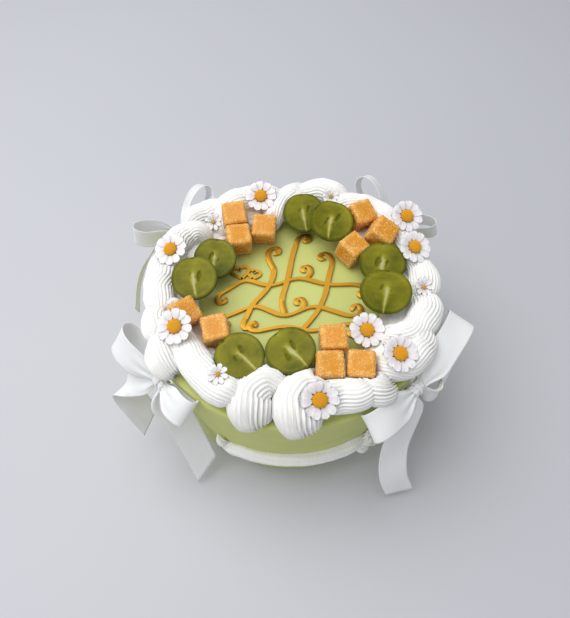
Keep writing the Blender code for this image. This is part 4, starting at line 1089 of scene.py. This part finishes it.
def make_border(settings):
    """Piped strokes and the bed under them, pressed down where the toppings lie."""
    tree = piping_tree(cream_material("piped_whipped_cream", settings.colour))
    hulls = topping_hulls()
    strokes = [stroke_path(*stroke, settings.spacing, number) for number, stroke in enumerate(STROKES)]
    kinds = (("piped_strokes", strokes, False, settings.ridges),
             ("cream_bed", [bed_path()], True, BED_RIDGES))
    for seed, (name, paths, closed, ridges) in enumerate(kinds, 1):
        values = {"Ridges": ridges, "Groove": settings.groove, "Unevenness": settings.unevenness,
                  "Seed": float(seed)}
        cream = run_tree(path_object(paths, closed), tree, values, name)
        press_down(cream.data, hulls)
        settle_piece(cream, "cream_border")


def garland_path(first, last):
    """Axis of a garland on the cake's side, its edge in small teeth."""
    path = []
    for i in range(GARLAND_RINGS + 1):
        share = i / GARLAND_RINGS
        ends = math.sin(math.pi / 2 * min(share, 1 - share, GARLAND_END) / GARLAND_END)
        sag = GARLAND_SAG * (1 - smooth_step(share / GARLAND_BEND))
        rise = GARLAND_RISE * smooth_step((share + GARLAND_BEND - 1) / GARLAND_BEND)
        height = GARLAND_HEIGHT - sag + rise
        teeth = 1 + GARLAND_TEETH * abs(math.sin(math.pi * i / RINGS_A_TOOTH))
        radius = GARLAND_HALF_HEIGHT * blend(GARLAND_END_SHARE, 1.0, ends) * teeth
        axis = polar(side_radius(height) + GARLAND_OUT, blend(first, last, share), height)
        path.append((axis, radius, 1.0, GARLAND_TWIST * share, 0.0))
    return path


def shell_path(angle, height, length, width, lean):
    """Axis of a shell of cream on the cake's side."""
    path = []
    tilt = math.radians(lean)
    for k in range(SHELL_RINGS + 1):
        share = k / SHELL_RINGS
        swell = SHELL_END
        if 0 < share < 1:
            swell = math.sin(math.pi * share ** SHELL_POWERS[0]) ** SHELL_POWERS[1]
        half = max(width / 2 * swell, SHELL_LEAST) * MM
        along = (share - 0.5) * length * MM
        level = height * MM + along * math.cos(tilt)
        out = side_radius(level) + SHELL_OUT * half
        turn = angle + math.degrees(along * math.sin(tilt) / out)
        path.append((polar(out, turn, level), half, 1.0, SHELL_TWIST * share, SHELL_TEETH * half))
    return path


def make_garlands(settings):
    """Ridged garlands and their shells on the cake's side."""
    tree = piping_tree(cream_material("garland_whipped_cream", settings.colour))
    for number, (first, last, shells) in enumerate(GARLANDS, 1):
        values = {"Ridges": GARLAND_RIDGES, "Groove": GARLAND_GROOVE, "Seed": 3.0 + number,
                  "Unevenness": GARLAND_EVENNESS * settings.unevenness}
        paths = [garland_path(first, last)] + [shell_path(*shell) for shell in shells]
        garland = run_tree(path_object(paths), tree, values, f"piped_garland_{number}")
        settle_piece(garland, f"side_garland_{number}")


def grape_outline(turn):
    """Share of the radius of a grape's cut face at an angle, notched at the stem end."""
    off = (turn + math.pi) % FULL_TURN - math.pi
    return 1 - GRAPE_NOTCH * bell(off, GRAPE_NOTCH_WIDTH)


def grape_hollow(x, y, seed):
    """How deep a place of the cut face lies in the ragged slits that the seeds left, from 0 to 1."""
    ragged = SEED_RAGGED * cloud(x * 5, y * 5, seed + 4.5)
    deep = 0.0
    for side in (1, -1):
        size = 1 + SEED_UNEVEN * math.sin(seed * 1.9 + 2.2 * side)
        sx = (x - SEED_PLACE[0] - SEED_SHIFT * math.sin(seed * 1.7 + side)) / (SEED_HALF[0] * size)
        sy = (side * y - SEED_PLACE[1] + SEED_SLANT * side * x) / (SEED_HALF[1] * size)
        deep = max(deep, (1 - smooth_step((sx * sx + sy * sy) / 1.4 + ragged)) * min(size, 1.0))
    return deep


def grape_core(x, y, seed):
    """How near a place of the cut face lies to the pale core, which ends at the stem, from 0 to 1."""
    bend = CORE_BEND * math.sin(2.5 * x + seed)
    frayed = 1 + CORE_FRAY * cloud(x * 9, y * 3, seed + 6.5)
    width = blend(*CORE_HALF, smooth_step((x + 1.0) / 1.3)) * frayed
    return bell(y - bend, width) * smooth_step((CORE_END - x) / CORE_END)


def grape_relief(x, y, seed):
    """Height of the cut face at a place in half sizes."""
    dish = -GRAPE_DISH * (1 - x * x - y * y)
    ripple = GRAPE_RIPPLE * cloud(x * 4, y * 4, seed)
    dimple = STEM_DEPTH * bell(x - STEM_PLACE, STEM_HALF[0]) * bell(y, STEM_HALF[1])
    swell = CORE_SWELL * grape_core(x, y, seed)
    return dish + swell - SEED_DEPTH * grape_hollow(x, y, seed) + ripple - dimple


def grape_tone(x, y, seed):
    """Tone of the cut face at a place: pale core, a pale ring near the rim that is a painted highlight,
    dark hollows, rim and stem spot.
    """
    reach = math.hypot(x, y)
    tone = FLESH_TONE + TONE_TO_STEM * x
    for along, across, offset, weight in TONE_CLOUDS:
        tone += weight * cloud(along * x, across * y, seed + offset)
    # Painted highlight: a pale ring near the rim.
    tone += PAINTED_RING_HIGHLIGHT * bell(reach - RING_PLACE, RING_WIDTH)
    tone -= RIM_TONE * smooth_step((reach - RIM_FROM) / RIM_WIDTH)
    tone = blend(tone, CORE_TONE, CORE_WEIGHT * grape_core(x, y, seed))
    tone = blend(tone, HOLLOW_TONE, HOLLOW_WEIGHT * grape_hollow(x, y, seed))
    return tone - SPOT_TONE * bell(abs(x) - STEM_PLACE, SPOT_WIDTH) * bell(y, SPOT_WIDTH)


def make_grape(number, length, width, matrix, material):
    """Half a grape: belly of skin below, relief of the cut flesh above."""
    half_length, half_width = length * MM / 2, width * MM / 2
    depth = width * MM * GRAPE_DEPTH_SHARE
    rings = []
    for k in range(1, GRAPE_SKIN_RINGS + 1):
        turn = math.pi / 2 - GRAPE_SKIN_ARC * k / GRAPE_SKIN_RINGS
        rings.append((math.cos(turn), -GRAPE_RIM - (depth - GRAPE_RIM) * math.sin(turn), False))
    rings += [(share, height * MM, False) for share, height in GRAPE_EDGE]
    rings += [(GRAPE_FACE_SHARE * (1 - k / GRAPE_FACE_RINGS), 0.0, True) for k in range(GRAPE_FACE_RINGS)]
    rows, tones = [[matrix @ Vector((0, 0, -depth))]], [GRAPE_SKIN_TONE]
    for share, height, on_face in rings:
        row = []
        for turn in turns(GRAPE_SEGMENTS):
            x, y, lift = circle_point(share * grape_outline(turn), turn)
            if on_face:
                lift = grape_relief(x, y, number) * smooth_step((1 - share) / 0.08)
            bulge = 1 + GRAPE_BULGE * cloud(x * 2, y * 2, number + height * 90)
            row.append(matrix @ Vector((half_length * x * bulge, half_width * y * bulge, height + lift)))
            tones.append(grape_tone(x, y, number) if on_face else GRAPE_SKIN_TONE)
        rows.append(row)
    rows.append([matrix @ Vector((0, 0, grape_relief(0, 0, number)))])
    tones.append(grape_tone(0, 0, number))
    grape = new_object(f"cut_grape_{number}", [(rows, False)], material)
    mark(grape.data, "tone", tones)
    settle_piece(grape, f"grape_half_{number}")


def make_grapes(settings):
    """Halved grapes."""
    material = grape_material(settings.flesh, settings.skin)
    for number, (x, y, height, length, width, lean_x, lean_y, turn) in enumerate(GRAPES, 1):
        matrix = place_matrix(x, y, height, lean_matrix(lean_x, lean_y, turn))
        make_grape(number, length, width, matrix, material)


def sugar_tree(jelly, sugar):
    """Scatter small crystals over a surface, thickest along its edges, and keep the surface itself."""
    kinds = {"Density": "Float", "Grain size": "Float", "Seed": "Int"}
    tree, node, given = new_tree("rolled_in_sugar", kinds)
    edge = node(NAMED_VALUE, {"Name": "edge"})
    thick = node(TIMES_PLUS, (edge, 0.7, 0.8))
    density = node(TIMES, (thick, given["Density"]))
    spots = node("GeometryNodeDistributePointsOnFaces",
                 {"Mesh": given["Geometry"], "Density": density, "Seed": given["Seed"]})
    crystal = node("GeometryNodeMeshCube", {"Size": (1.0, 0.8, 0.7)})
    turn = node("FunctionNodeRandomValue", {"Max": (6.28, 6.28, 6.28), "Seed": given["Seed"]},
                data_type="FLOAT_VECTOR")
    size = node("FunctionNodeRandomValue", {2: 0.5, 3: 1.25, "Seed": given["Seed"]}, output=1)
    scale = node(TIMES, (size, given["Grain size"]))
    grains = node("GeometryNodeInstanceOnPoints",
                  {"Points": spots, "Instance": crystal, "Rotation": turn, "Scale": scale})
    real = node(REALISE, (grains,))
    white = node(SET_MATERIAL, {"Geometry": real, "Material": sugar})
    body = node(SET_MATERIAL, {"Geometry": given["Geometry"], "Material": jelly})
    both = node("GeometryNodeJoinGeometry", (white,))
    tree.links.new(body, both.node.inputs[0])
    node("NodeGroupOutput", (both,))
    return tree


def jelly_block(number, matrix):
    """Soft-edged, slightly lopsided block of jelly that knows how near its edges are."""
    bm = bmesh.new()
    bmesh.ops.create_cube(bm, size=JELLY_SIDE)
    bmesh.ops.subdivide_edges(bm, edges=bm.edges[:], cuts=JELLY_CUTS, use_grid_fill=True)
    inner = JELLY_SIDE / 2 - JELLY_ROUND
    near = []
    for vert in bm.verts:
        second = sorted(abs(c) for c in vert.co)[1]
        near.append(smooth_step((second / inner - JELLY_EDGE_FROM) / (1 - JELLY_EDGE_FROM)))
        core = Vector([min(max(c, -inner), inner) for c in vert.co])
        swell = noise.noise(vert.co * JELLY_WAVES[0] + Vector((0, 0, number * 7)))
        fine = 0.35 * noise.noise(vert.co * JELLY_WAVES[1] + Vector((number * 3, 0, 0)))
        out = JELLY_ROUND + JELLY_UNEVEN * (swell + fine) - JELLY_SHRINK
        vert.co = matrix @ (core + (vert.co - core).normalized() * out)
    mesh = bpy.data.meshes.new("jelly")
    bm.to_mesh(mesh)
    bm.free()
    mark(mesh, "edge", near)
    mesh.shade_smooth()
    return link("jelly", mesh)


def make_jellies(settings):
    """Sugared jelly cubes."""
    tree = sugar_tree(jelly_material(settings.jelly), sugar_material())
    for number, (x, y, height, *angles) in enumerate(JELLIES, 1):
        rotation = Matrix.Identity(4)
        for axis, degrees in zip("XYZ", angles):
            rotation = Matrix.Rotation(math.radians(degrees), 4, axis) @ rotation
        block = jelly_block(number, place_matrix(x, y, height, rotation))
        values = {"Density": settings.grains, "Grain size": settings.grain, "Seed": settings.seed + number}
        piece = run_tree(block, tree, values, f"sugared_cube_{number}")
        settle_piece(piece, f"jelly_cube_{number}")


def petal_object(radius, inner, petals, fullness):
    """One petal along +X with a round, slightly notched tip and a shallow trough."""
    widest = math.pi * radius * fullness / petals
    upper = [(2 * j / PETAL_ACROSS - 1, PETAL_THICKNESS) for j in range(PETAL_ACROSS + 1)]
    section = upper + [(v, 0.0) for v, _ in reversed(upper)]
    rows, uvs = [], []
    for i in range(PETAL_ALONG + 1):
        share = i / PETAL_ALONG
        base = blend(PETAL_WAIST, 1.0, smooth_step((share - PETAL_WAIST_END) / 0.30))
        tip = math.sqrt(max(1 - max((share - PETAL_TIP) / (1 - PETAL_TIP), 0.0) ** PETAL_BLUNT, 0.0))
        width = max(widest * base * tip, PETAL_LEAST)
        droop = smooth_step(share * 1.2)
        droop -= PETAL_DROOP * smooth_step((share - PETAL_DROOP_FROM) / (1 - PETAL_DROOP_FROM))
        row = []
        for v, lift in section:
            notch = PETAL_TIP_NOTCH * smooth_step((share - 0.8) / 0.2) * (1 - v * v)
            height = PETAL_CUP * (droop + PETAL_TROUGH * v * v * share) + lift
            row.append(Vector((blend(inner, radius, share) - notch, width * v, height)))
            uvs.append((share, 0.5 + 0.5 * v))
        rows.append(row)
    petal = new_object("petal", [(rows, False)], uvs=uvs)
    mark(petal.data, "reach", [u for u, _ in uvs])
    return petal


def petal_ring_tree(material):
    """Set copies of one petal round a ring, each a little off its place."""
    tree, node, given = new_tree("ring_of_petals", {"Petals": "Int", "Scatter": "Float", "Seed": "Int"})
    spots = node("GeometryNodePoints", {"Count": given["Petals"]})
    index = node("GeometryNodeInputIndex")
    middle = node(PLUS, (index, 0.5))
    share = node("ShaderNodeMath.DIVIDE", (middle, given["Petals"]))
    turn = node(TIMES, (share, FULL_TURN))
    most = node("ShaderNodeCombineXYZ", (given["Scatter"],) * 3)
    least = node("ShaderNodeVectorMath.MULTIPLY", (most, (-1, -1, -1)))
    off = node("FunctionNodeRandomValue", {"Min": least, "Max": most, "Seed": given["Seed"]},
               data_type="FLOAT_VECTOR")
    upright = node("ShaderNodeCombineXYZ", {"Z": turn})
    angles = node("ShaderNodeVectorMath.ADD", (upright, off))
    ring = node("GeometryNodeInstanceOnPoints",
                {"Points": spots, "Instance": given["Geometry"], "Rotation": angles})
    close_tree(tree, ring, material)
    return tree


def pip_tree(material):
    """Set a small pip on each point of a dome, the dome itself kept under them."""
    tree, node, given = new_tree("grained_dome", {"Pip size": "Float"})
    pip = node("GeometryNodeMeshIcoSphere", {"Radius": 1.0, "Subdivisions": 1})
    wanted = node(NAMED_VALUE, {"Name": "pip"})
    here = node("ShaderNodeMath.GREATER_THAN", (wanted, 0.5))
    spots = node("GeometryNodeInstanceOnPoints", {"Points": given["Geometry"], "Instance": pip,
                                                  "Selection": here, "Scale": given["Pip size"]})
    real = node(REALISE, (spots,))
    # Marks the pips; the middle's material paints the dome between them darker, as painted shade.
    high = node(STORE_VALUE, {"Geometry": real, "Name": "pip_height", "Value": 1.0})
    both = node("GeometryNodeJoinGeometry", (high,))
    tree.links.new(given["Geometry"], both.node.inputs[0])
    close_tree(tree, both, material)
    return tree


def dome_place(share, turn, radius, height):
    """Point on a daisy's domed middle."""
    return circle_point(radius * share, turn, height * (1 - share ** DOME_POWERS[0]) ** DOME_POWERS[1])


def dome_object(radius, height, pips):
    """Dome with a spiral of points where its pips sit."""
    radius, low = DOME_RADIUS_SHARE * radius, DOME_HEIGHT_SHARE * height
    rows = [[dome_place(1 - i / DOME_RINGS, turn, radius, low) for turn in turns(DOME_SEGMENTS)]
            for i in range(DOME_RINGS)]
    rows = [[Vector((0, 0, 0))], *rows, [Vector((0, 0, low))]]
    shares = [PIP_REACH * math.sqrt((k + 0.5) / pips) for k in range(pips)]
    spiral = [[dome_place(share, k * GOLDEN_TURN, radius, PIP_LEVEL * height)]
              for k, share in enumerate(shares)]
    dome = new_object("dome", [(rows, False), (spiral, False)])
    mark(dome.data, "pip", [0.0] * (len(dome.data.vertices) - pips) + [1.0] * pips)
    return dome


def calyx_object(number, matrix, material):
    """Low green disc under a daisy's petals."""
    rows = [[matrix @ circle_point(CALYX_RADIUS, turn, level) for turn in turns(CALYX_SEGMENTS)]
            for level in CALYX_LEVELS]
    low, high = (matrix @ Vector((0, 0, level)) for level in CALYX_LEVELS)
    calyx = new_object(f"daisy_calyx_{number}", [([[low], *rows, [high]], False)], material)
    calyx.data.set_sharp_from_angle(angle=SHARP_FROM)
    return calyx


def make_daisies(settings):
    """Large and small daisies: petals, a grained yellow middle and the green that shows between."""
    ring = petal_ring_tree(petal_material(settings.petal))
    calyx = calyx_material()
    grains = (centre_material("grained_orange_paste", settings.centre),
              centre_material("grained_yellow_paste", settings.small_centre))
    for (kind, places, radius, petals, fullness, boss, height, pips), grain in zip(DAISY_KINDS, grains):
        grained = pip_tree(grain)
        large = kind == "daisy"
        for number, (x, y, level, lean_x, lean_y, turn) in enumerate(places, 1):
            matrix = place_matrix(x, y, level, lean_matrix(lean_x, lean_y, turn))
            values = {"Petals": petals, "Scatter": settings.scatter, "Seed": number * 5}
            petal = petal_object(radius, boss * PETAL_ROOT, petals, fullness)
            flower = run_tree(petal, ring, values, f"{kind}_ring_{number}")
            flower.data.transform(matrix)
            dome = dome_object(boss, height, pips)
            middle = run_tree(dome, grained, {"Pip size": boss * PIP_SHARE}, f"{kind}_middle_{number}")
            middle.data.transform(matrix @ Matrix.Translation((0, 0, BOSS_LIFT * radius / DAISY_RADIUS)))
            node = f"daisy_petals_{number}" if large else f"small_daisy_{number}"
            settle_piece(flower, node)
            settle_piece(middle, f"daisy_centre_{number}" if large else node)
            if large:
                settle_piece(calyx_object(number, matrix, calyx), node)


def pen_width(line, i):
    """Width of a broad pen's stroke at a point of a line."""
    ahead = line[min(i + 1, len(line) - 1)] - line[max(i - 1, 0)]
    heading = math.atan2(ahead.y, ahead.x) - math.radians(PEN_ANGLE)
    return PEN_THIN + PEN_SWELL * abs(math.sin(heading)) ** 1.5


def scroll_line(x, y, heading, length, hand):
    """Line that leaves a foot and winds up ever tighter into a scroll."""
    line = [Vector((x, y, 0))]
    for k in range(SCROLL_STEPS):
        share = (k + 0.5) / SCROLL_STEPS
        turn = math.radians(heading) + hand * FULL_TURN * SCROLL_TURNS * share ** SCROLL_WIND
        line.append(line[-1] + circle_point(length / SCROLL_STEPS * blend(*SCROLL_PACE, share), turn))
    return line


def heart_line(x, y, size, turn):
    """Closed outline of a heart."""
    spin = Matrix.Rotation(math.radians(turn), 4, "Z")
    line = []
    for t in turns(HEART_STEPS):
        up = (13 * math.cos(t) - 5 * math.cos(2 * t) - 2 * math.cos(3 * t) - math.cos(4 * t)) / 16
        line.append(spin @ Vector((size * math.sin(t) ** 3, size * up, 0)) + Vector((x, y, 0)))
    return line


def band_rows(line, widths, level, closed):
    """Rows of points over a flat band along a line in mm, with softened upper edges."""
    last = len(line) - 1
    half = ORNAMENT_THICKNESS / 2 - level * ORNAMENT_LEVEL_STEP
    middle = CAKE_HEIGHT + ORNAMENT_GAP + ORNAMENT_THICKNESS / 2
    rows = []
    for i, (point, width) in enumerate(zip(line, widths)):
        after = line[(i + 1) % len(line)] if closed else line[min(i + 1, last)]
        before = line[i - 1] if closed else line[max(i - 1, 0)]
        side = Vector((before.y - after.y, after.x - before.x, 0)).normalized() * (width / 2)
        rows.append([(point + side * across) * MM + Vector((0, 0, middle + up * half))
                     for across, up in BAND_SECTION])
    return rows, closed


def make_ornament(settings):
    """Gilt ornament of vines, scrolls and hearts that lies on the top."""
    lines = [spline([Vector((x, y, 0)) for x, y in points], VINE_STEPS) for points in VINES]
    lines += [scroll_line(*scroll) for scroll in SCROLLS]
    bands = [band_rows(line, [pen_width(line, i) for i in range(len(line))], level, False)
             for level, line in enumerate(lines)]
    bands += [band_rows(heart_line(*heart), [HEART_BAND] * HEART_STEPS, level, True)
              for level, heart in enumerate(HEARTS, len(lines))]
    ornament = new_object("gilt_vines_and_hearts", bands, gilt_material(settings.gilt))
    ornament.data.set_sharp_from_angle(angle=SHARP_FROM)
    settle_piece(ornament, "gilt_ornament")


def loop_line(side, length, opening, direction, across, level):
    """Line of a teardrop loop of ribbon and the direction of its width at each point, in mm."""
    direction = Vector(direction).normalized()
    across = Vector(across)
    across = (across - direction * across.dot(direction)).normalized()
    swell = across.cross(direction)
    start = Vector((level, side * TIE_CLEAR, level))
    line = []
    for k in range(LOOP_STEPS + 1):
        turn = math.pi * k / LOOP_STEPS
        lift = LOOP_SWELL * opening * math.sin(2 * turn) * math.sin(turn)
        lift += RIBBON_CAD_THICKNESS * math.cos(turn)
        line.append(start + direction * (length * math.sin(turn) ** 2) + swell * lift)
    return line, [across] * len(line)


def tail_line(side, points, across, level):
    """Line of a tail of ribbon and the direction of its width at each point, in mm."""
    route = [Vector((level, side * TIE_CLEAR, level))] + [Vector(point) for point in points]
    gathered = Vector(across[0])
    gathered.y *= NECK_TURN_SHARE
    sides = [gathered.normalized()] + [Vector(direction) for direction in across]
    line = spline(route, TAIL_STEPS)
    directions = []
    for i in range(len(line)):
        k = min(i // TAIL_STEPS, len(sides) - 2)
        directions.append(sides[k].lerp(sides[k + 1], smooth_step((i - k * TAIL_STEPS) / TAIL_STEPS)))
    return line, directions


def ribbon_grid(line, directions, full, slant, looped, phase):
    """Rows of points over a ribbon, in its knot's frame, and their place on the ribbon, in mm."""
    lengths = lengths_along(line)
    total = lengths[-1]
    rows, places = [], []
    for i, (point, along) in enumerate(zip(line, lengths)):
        near = min(along, total - along) if looped else along
        width = blend(RIBBON_GATHER_WIDTH, full, smooth_step(near / RIBBON_GATHER_LENGTH))
        ahead = (line[min(i + 1, len(line) - 1)] - line[max(i - 1, 0)]).normalized()
        side = (directions[i] - ahead * directions[i].dot(ahead)).normalized()
        face = ahead.cross(side)
        gather = 1 - smooth_step(near / (PLEAT_REACH * RIBBON_GATHER_LENGTH))
        stretch = 0.0 if looped else slant / 2 * smooth_step(along / total) ** 3
        loose = RIBBON_RIPPLE * (1 - gather) * smooth_step(near / RIPPLE_FROM)
        row = []
        for j in range(ACROSS_POINTS):
            v = 2 * j / (ACROSS_POINTS - 1) - 1
            pleat = PLEAT_DEPTH * gather * math.sin(PLEATS * math.pi * v / 2 + phase)
            ripple = loose * math.sin(RIPPLE_ACROSS * v + RIPPLE_ALONG * along + phase)
            row.append(point + side * (v * width / 2) + face * (pleat + ripple) + ahead * (stretch * v))
            places.append((along, v * full / 2))
        rows.append(row)
    return rows, places


def off_side(point):
    """The point, or the nearest one outwards that is clear of the cake's side."""
    if point.z < CAKE_HEIGHT + RIBBON_OFF_SIDE:
        push = side_radius(min(point.z, CAKE_HEIGHT)) + RIBBON_OFF_SIDE - math.hypot(point.x, point.y)
        if push > 0:
            return point + Vector((point.x, point.y, 0)).normalized() * push
    return point


def make_ribbons(number, loops, tails, knot, settings, material):
    """The loops and tails of one bow as one cut of satin ribbon, and the length of that cut."""
    full = settings.ribbon_width / MM
    strips = [(*loop_line(*loop, level), full, 0.0, True) for loop, level in zip(loops, LOOP_LEVELS)]
    for (side, points, across, slant), level in zip(tails, TAIL_LEVELS):
        strips.append((*tail_line(side, points, across, level), full, slant, False))
    parts, uvs, total = [], [], 0.0
    for phase, strip in enumerate(strips):
        rows, places = ribbon_grid(*strip, PLEAT_PHASE * phase + number)
        parts.append(([[off_side(knot @ (point * MM)) for point in row] for row in rows], False))
        uvs += [(u * MM + total, v * MM) for u, v in places]
        total += lengths_along(strip[0])[-1] * MM
    cloth = new_object("ribbon", parts, material, uvs, wrapped=False)
    wall = cloth.modifiers.new("thickness", "SOLIDIFY")
    wall.thickness = settings.ribbon_thickness
    wall.offset = 0.0
    return bake(cloth, f"satin_bow_{number}"), total


def neck_object(number, knot, material):
    """Gathered middle of a bow, pleated along."""
    rows, uvs = [], []
    for i in range(NECK_RINGS):
        share = 2 * i / (NECK_RINGS - 1) - 1
        reach = (NECK_RADIUS - NECK_INSET) * (1 + NECK_FLARE * share * share)
        row = []
        for turn in turns(NECK_SEGMENTS):
            pleat = 1 + NECK_PLEAT * math.cos(NECK_PLEATS * turn + share)
            x, z, _ = circle_point(reach * pleat, turn)
            row.append(knot @ (Vector((x, share * NECK_HALF_LENGTH, z)) * MM))
            uvs.append((share * NECK_HALF_LENGTH * MM, turn * NECK_RADIUS * MM))
        rows.append(row)
    return new_object(f"gathered_neck_{number}", [(rows, False)], material, uvs)


def thread_object(number, knot, material):
    """Three turns of thread round a bow's neck."""
    parts, uvs = [], []
    for offset in (-THREAD_STEP, 0.0, THREAD_STEP):
        rows = []
        for turn in turns(THREAD_STEPS):
            row = []
            for roll in turns(THREAD_SIDES):
                thick = THREAD_RADIUS * (1 + THREAD_TWIST * math.cos(2 * roll + THREAD_TWISTS * turn))
                x, z, _ = circle_point(TIE_RADIUS - THREAD_INSET + thick * math.cos(roll), turn)
                row.append(knot @ (Vector((x, offset + thick * math.sin(roll), z)) * MM))
                uvs.append((turn * TIE_RADIUS * MM, roll * MM))
            rows.append(row)
        parts.append((rows, True))
    return new_object(f"bow_thread_{number}", parts, material, uvs)


def make_bows(settings):
    """Satin bows, each with its gathered neck and the thread that ties it."""
    material = satin_material(settings.satin)
    for number, (angle, loops, tails) in enumerate(BOWS, 1):
        knot = Matrix.Translation(polar(KNOT_RADIUS, angle, KNOT_HEIGHT))
        knot = knot @ Matrix.Rotation(math.radians(angle), 4, "Z")
        ribbon, length = make_ribbons(number, loops, tails, knot, settings, material)
        settle_piece(ribbon, f"ribbon_bow_{number}")
        neck = neck_object(number, knot, material)
        settle_piece(neck, f"ribbon_bow_{number}")
        thread = thread_object(number, knot, material)
        settle_piece(thread, f"ribbon_tie_{number}")


def soft_light(name, place, size, power):
    """Large round area light that looks at the cake."""
    light = bpy.data.lights.new(name, "AREA")
    light.shape = "DISK"
    light.size = size
    light.energy = power
    obj = link(name, light)
    obj.location = place
    to_cake = Vector((0.0, 0.0, CAKE_HEIGHT / 2)) - Vector(place)
    obj.rotation_euler = to_cake.to_track_quat("-Z", "Y").to_euler()


def make_stage(settings):
    """Pale floor, soft lights and the camera at the photograph's place."""
    rows = [[(x, y, 0) for x in (-FLOOR_HALF, FLOOR_HALF)] for y in (-FLOOR_HALF, FLOOR_HALF)]
    floor = new_object("pale_floor", [(rows, False)], floor_material(settings.floor), wrapped=False)
    soft_light(*KEY_LIGHT, settings.key)
    soft_light(*FILL_LIGHT, settings.fill)
    scene = bpy.context.scene
    scene.world = bpy.data.worlds.new("studio")
    scene.world.use_nodes = True
    background = scene.world.node_tree.nodes["Background"]
    background.inputs["Color"].default_value = linear(SKY_COLOUR)
    background.inputs["Strength"].default_value = settings.sky
    scene.view_settings.view_transform = "Standard"
    camera = bpy.data.cameras.new("camera")
    camera.sensor_width = SENSOR
    camera.lens = FOCAL_PIXELS / PICTURE_HEIGHT * SENSOR
    camera.clip_start = 10 * MM
    scene.camera = link("camera", camera)
    scene.camera.location = CAMERA_PLACE
    scene.camera.rotation_euler = (math.radians(90 - CAMERA_PITCH), 0.0, 0.0)


class CAKE_OT_stage(bpy.types.Operator):
    """Set up the floor, the lights and the camera"""

    bl_idname = "cream_cake.stage"
    bl_label = "Stage"

    def execute(self, context):
        make_stage(context.scene.cream_cake.stage)
        return {"FINISHED"}


class CAKE_OT_coat(bpy.types.Operator):
    """Make the smooth coat of the cake"""

    bl_idname = "cream_cake.coat"
    bl_label = "Smooth coat"

    def execute(self, context):
        make_coat(context.scene.cream_cake.coat)
        return {"FINISHED"}


class CAKE_OT_border(bpy.types.Operator):
    """Pipe the border of cream round the top"""

    bl_idname = "cream_cake.border"
    bl_label = "Piped border"

    def execute(self, context):
        make_border(context.scene.cream_cake.piping)
        return {"FINISHED"}


class CAKE_OT_garlands(bpy.types.Operator):
    """Pipe the garlands on the side"""

    bl_idname = "cream_cake.garlands"
    bl_label = "Side garlands"

    def execute(self, context):
        make_garlands(context.scene.cream_cake.piping)
        return {"FINISHED"}


class CAKE_OT_grapes(bpy.types.Operator):
    """Lay the halved grapes"""

    bl_idname = "cream_cake.grapes"
    bl_label = "Halved grapes"

    def execute(self, context):
        make_grapes(context.scene.cream_cake.fruit)
        return {"FINISHED"}


class CAKE_OT_jellies(bpy.types.Operator):
    """Set the sugared jelly cubes"""

    bl_idname = "cream_cake.jellies"
    bl_label = "Sugared jelly"

    def execute(self, context):
        make_jellies(context.scene.cream_cake.fruit)
        return {"FINISHED"}


class CAKE_OT_daisies(bpy.types.Operator):
    """Set the daisies"""

    bl_idname = "cream_cake.daisies"
    bl_label = "Daisies"

    def execute(self, context):
        make_daisies(context.scene.cream_cake.flowers)
        return {"FINISHED"}


class CAKE_OT_ornament(bpy.types.Operator):
    """Lay the gilt ornament on the top"""

    bl_idname = "cream_cake.ornament"
    bl_label = "Gilt ornament"

    def execute(self, context):
        make_ornament(context.scene.cream_cake.trim)
        return {"FINISHED"}


class CAKE_OT_bows(bpy.types.Operator):
    """Tie the satin bows"""

    bl_idname = "cream_cake.bows"
    bl_label = "Satin bows"

    def execute(self, context):
        make_bows(context.scene.cream_cake.trim)
        return {"FINISHED"}


class CAKE_PT_dressing(bpy.types.Panel):
    """Operators and settings of the cake"""

    bl_label = "Cream cake"
    bl_idname = "CAKE_PT_dressing"
    bl_space_type = "VIEW_3D"
    bl_region_type = "UI"
    bl_category = "Cake"

    def draw(self, context):
        for operator in OPERATORS:
            self.layout.operator(operator.bl_idname)
        settings = context.scene.cream_cake
        for part in ("coat", "piping", "fruit", "flowers", "trim", "stage"):
            group = getattr(settings, part)
            box = self.layout.box()
            for name in group.bl_rna.properties.keys():
                if name not in ("rna_type", "name"):
                    box.prop(group, name)


GROUPS = (CoatSettings, PipingSettings, FruitSettings, FlowerSettings, TrimSettings, StageSettings,
          CakeSettings)
OPERATORS = (CAKE_OT_stage, CAKE_OT_coat, CAKE_OT_border, CAKE_OT_garlands, CAKE_OT_grapes, CAKE_OT_jellies,
             CAKE_OT_daisies, CAKE_OT_ornament, CAKE_OT_bows)


def register():
    """Register the settings, the operators and the panel."""
    for group in (*GROUPS, *OPERATORS, CAKE_PT_dressing):
        bpy.utils.register_class(group)
    bpy.types.Scene.cream_cake = PointerProperty(type=CakeSettings)


def unregister():
    """Undo register."""
    del bpy.types.Scene.cream_cake
    for group in reversed((*GROUPS, *OPERATORS, CAKE_PT_dressing)):
        bpy.utils.unregister_class(group)


def main():
    """Make every piece in turn."""
    register()
    bpy.ops.cream_cake.stage()
    bpy.ops.cream_cake.coat()
    bpy.ops.cream_cake.border()
    bpy.ops.cream_cake.garlands()
    bpy.ops.cream_cake.grapes()
    bpy.ops.cream_cake.jellies()
    bpy.ops.cream_cake.daisies()
    bpy.ops.cream_cake.ornament()
    bpy.ops.cream_cake.bows()


if __name__ == "__main__":
    main()
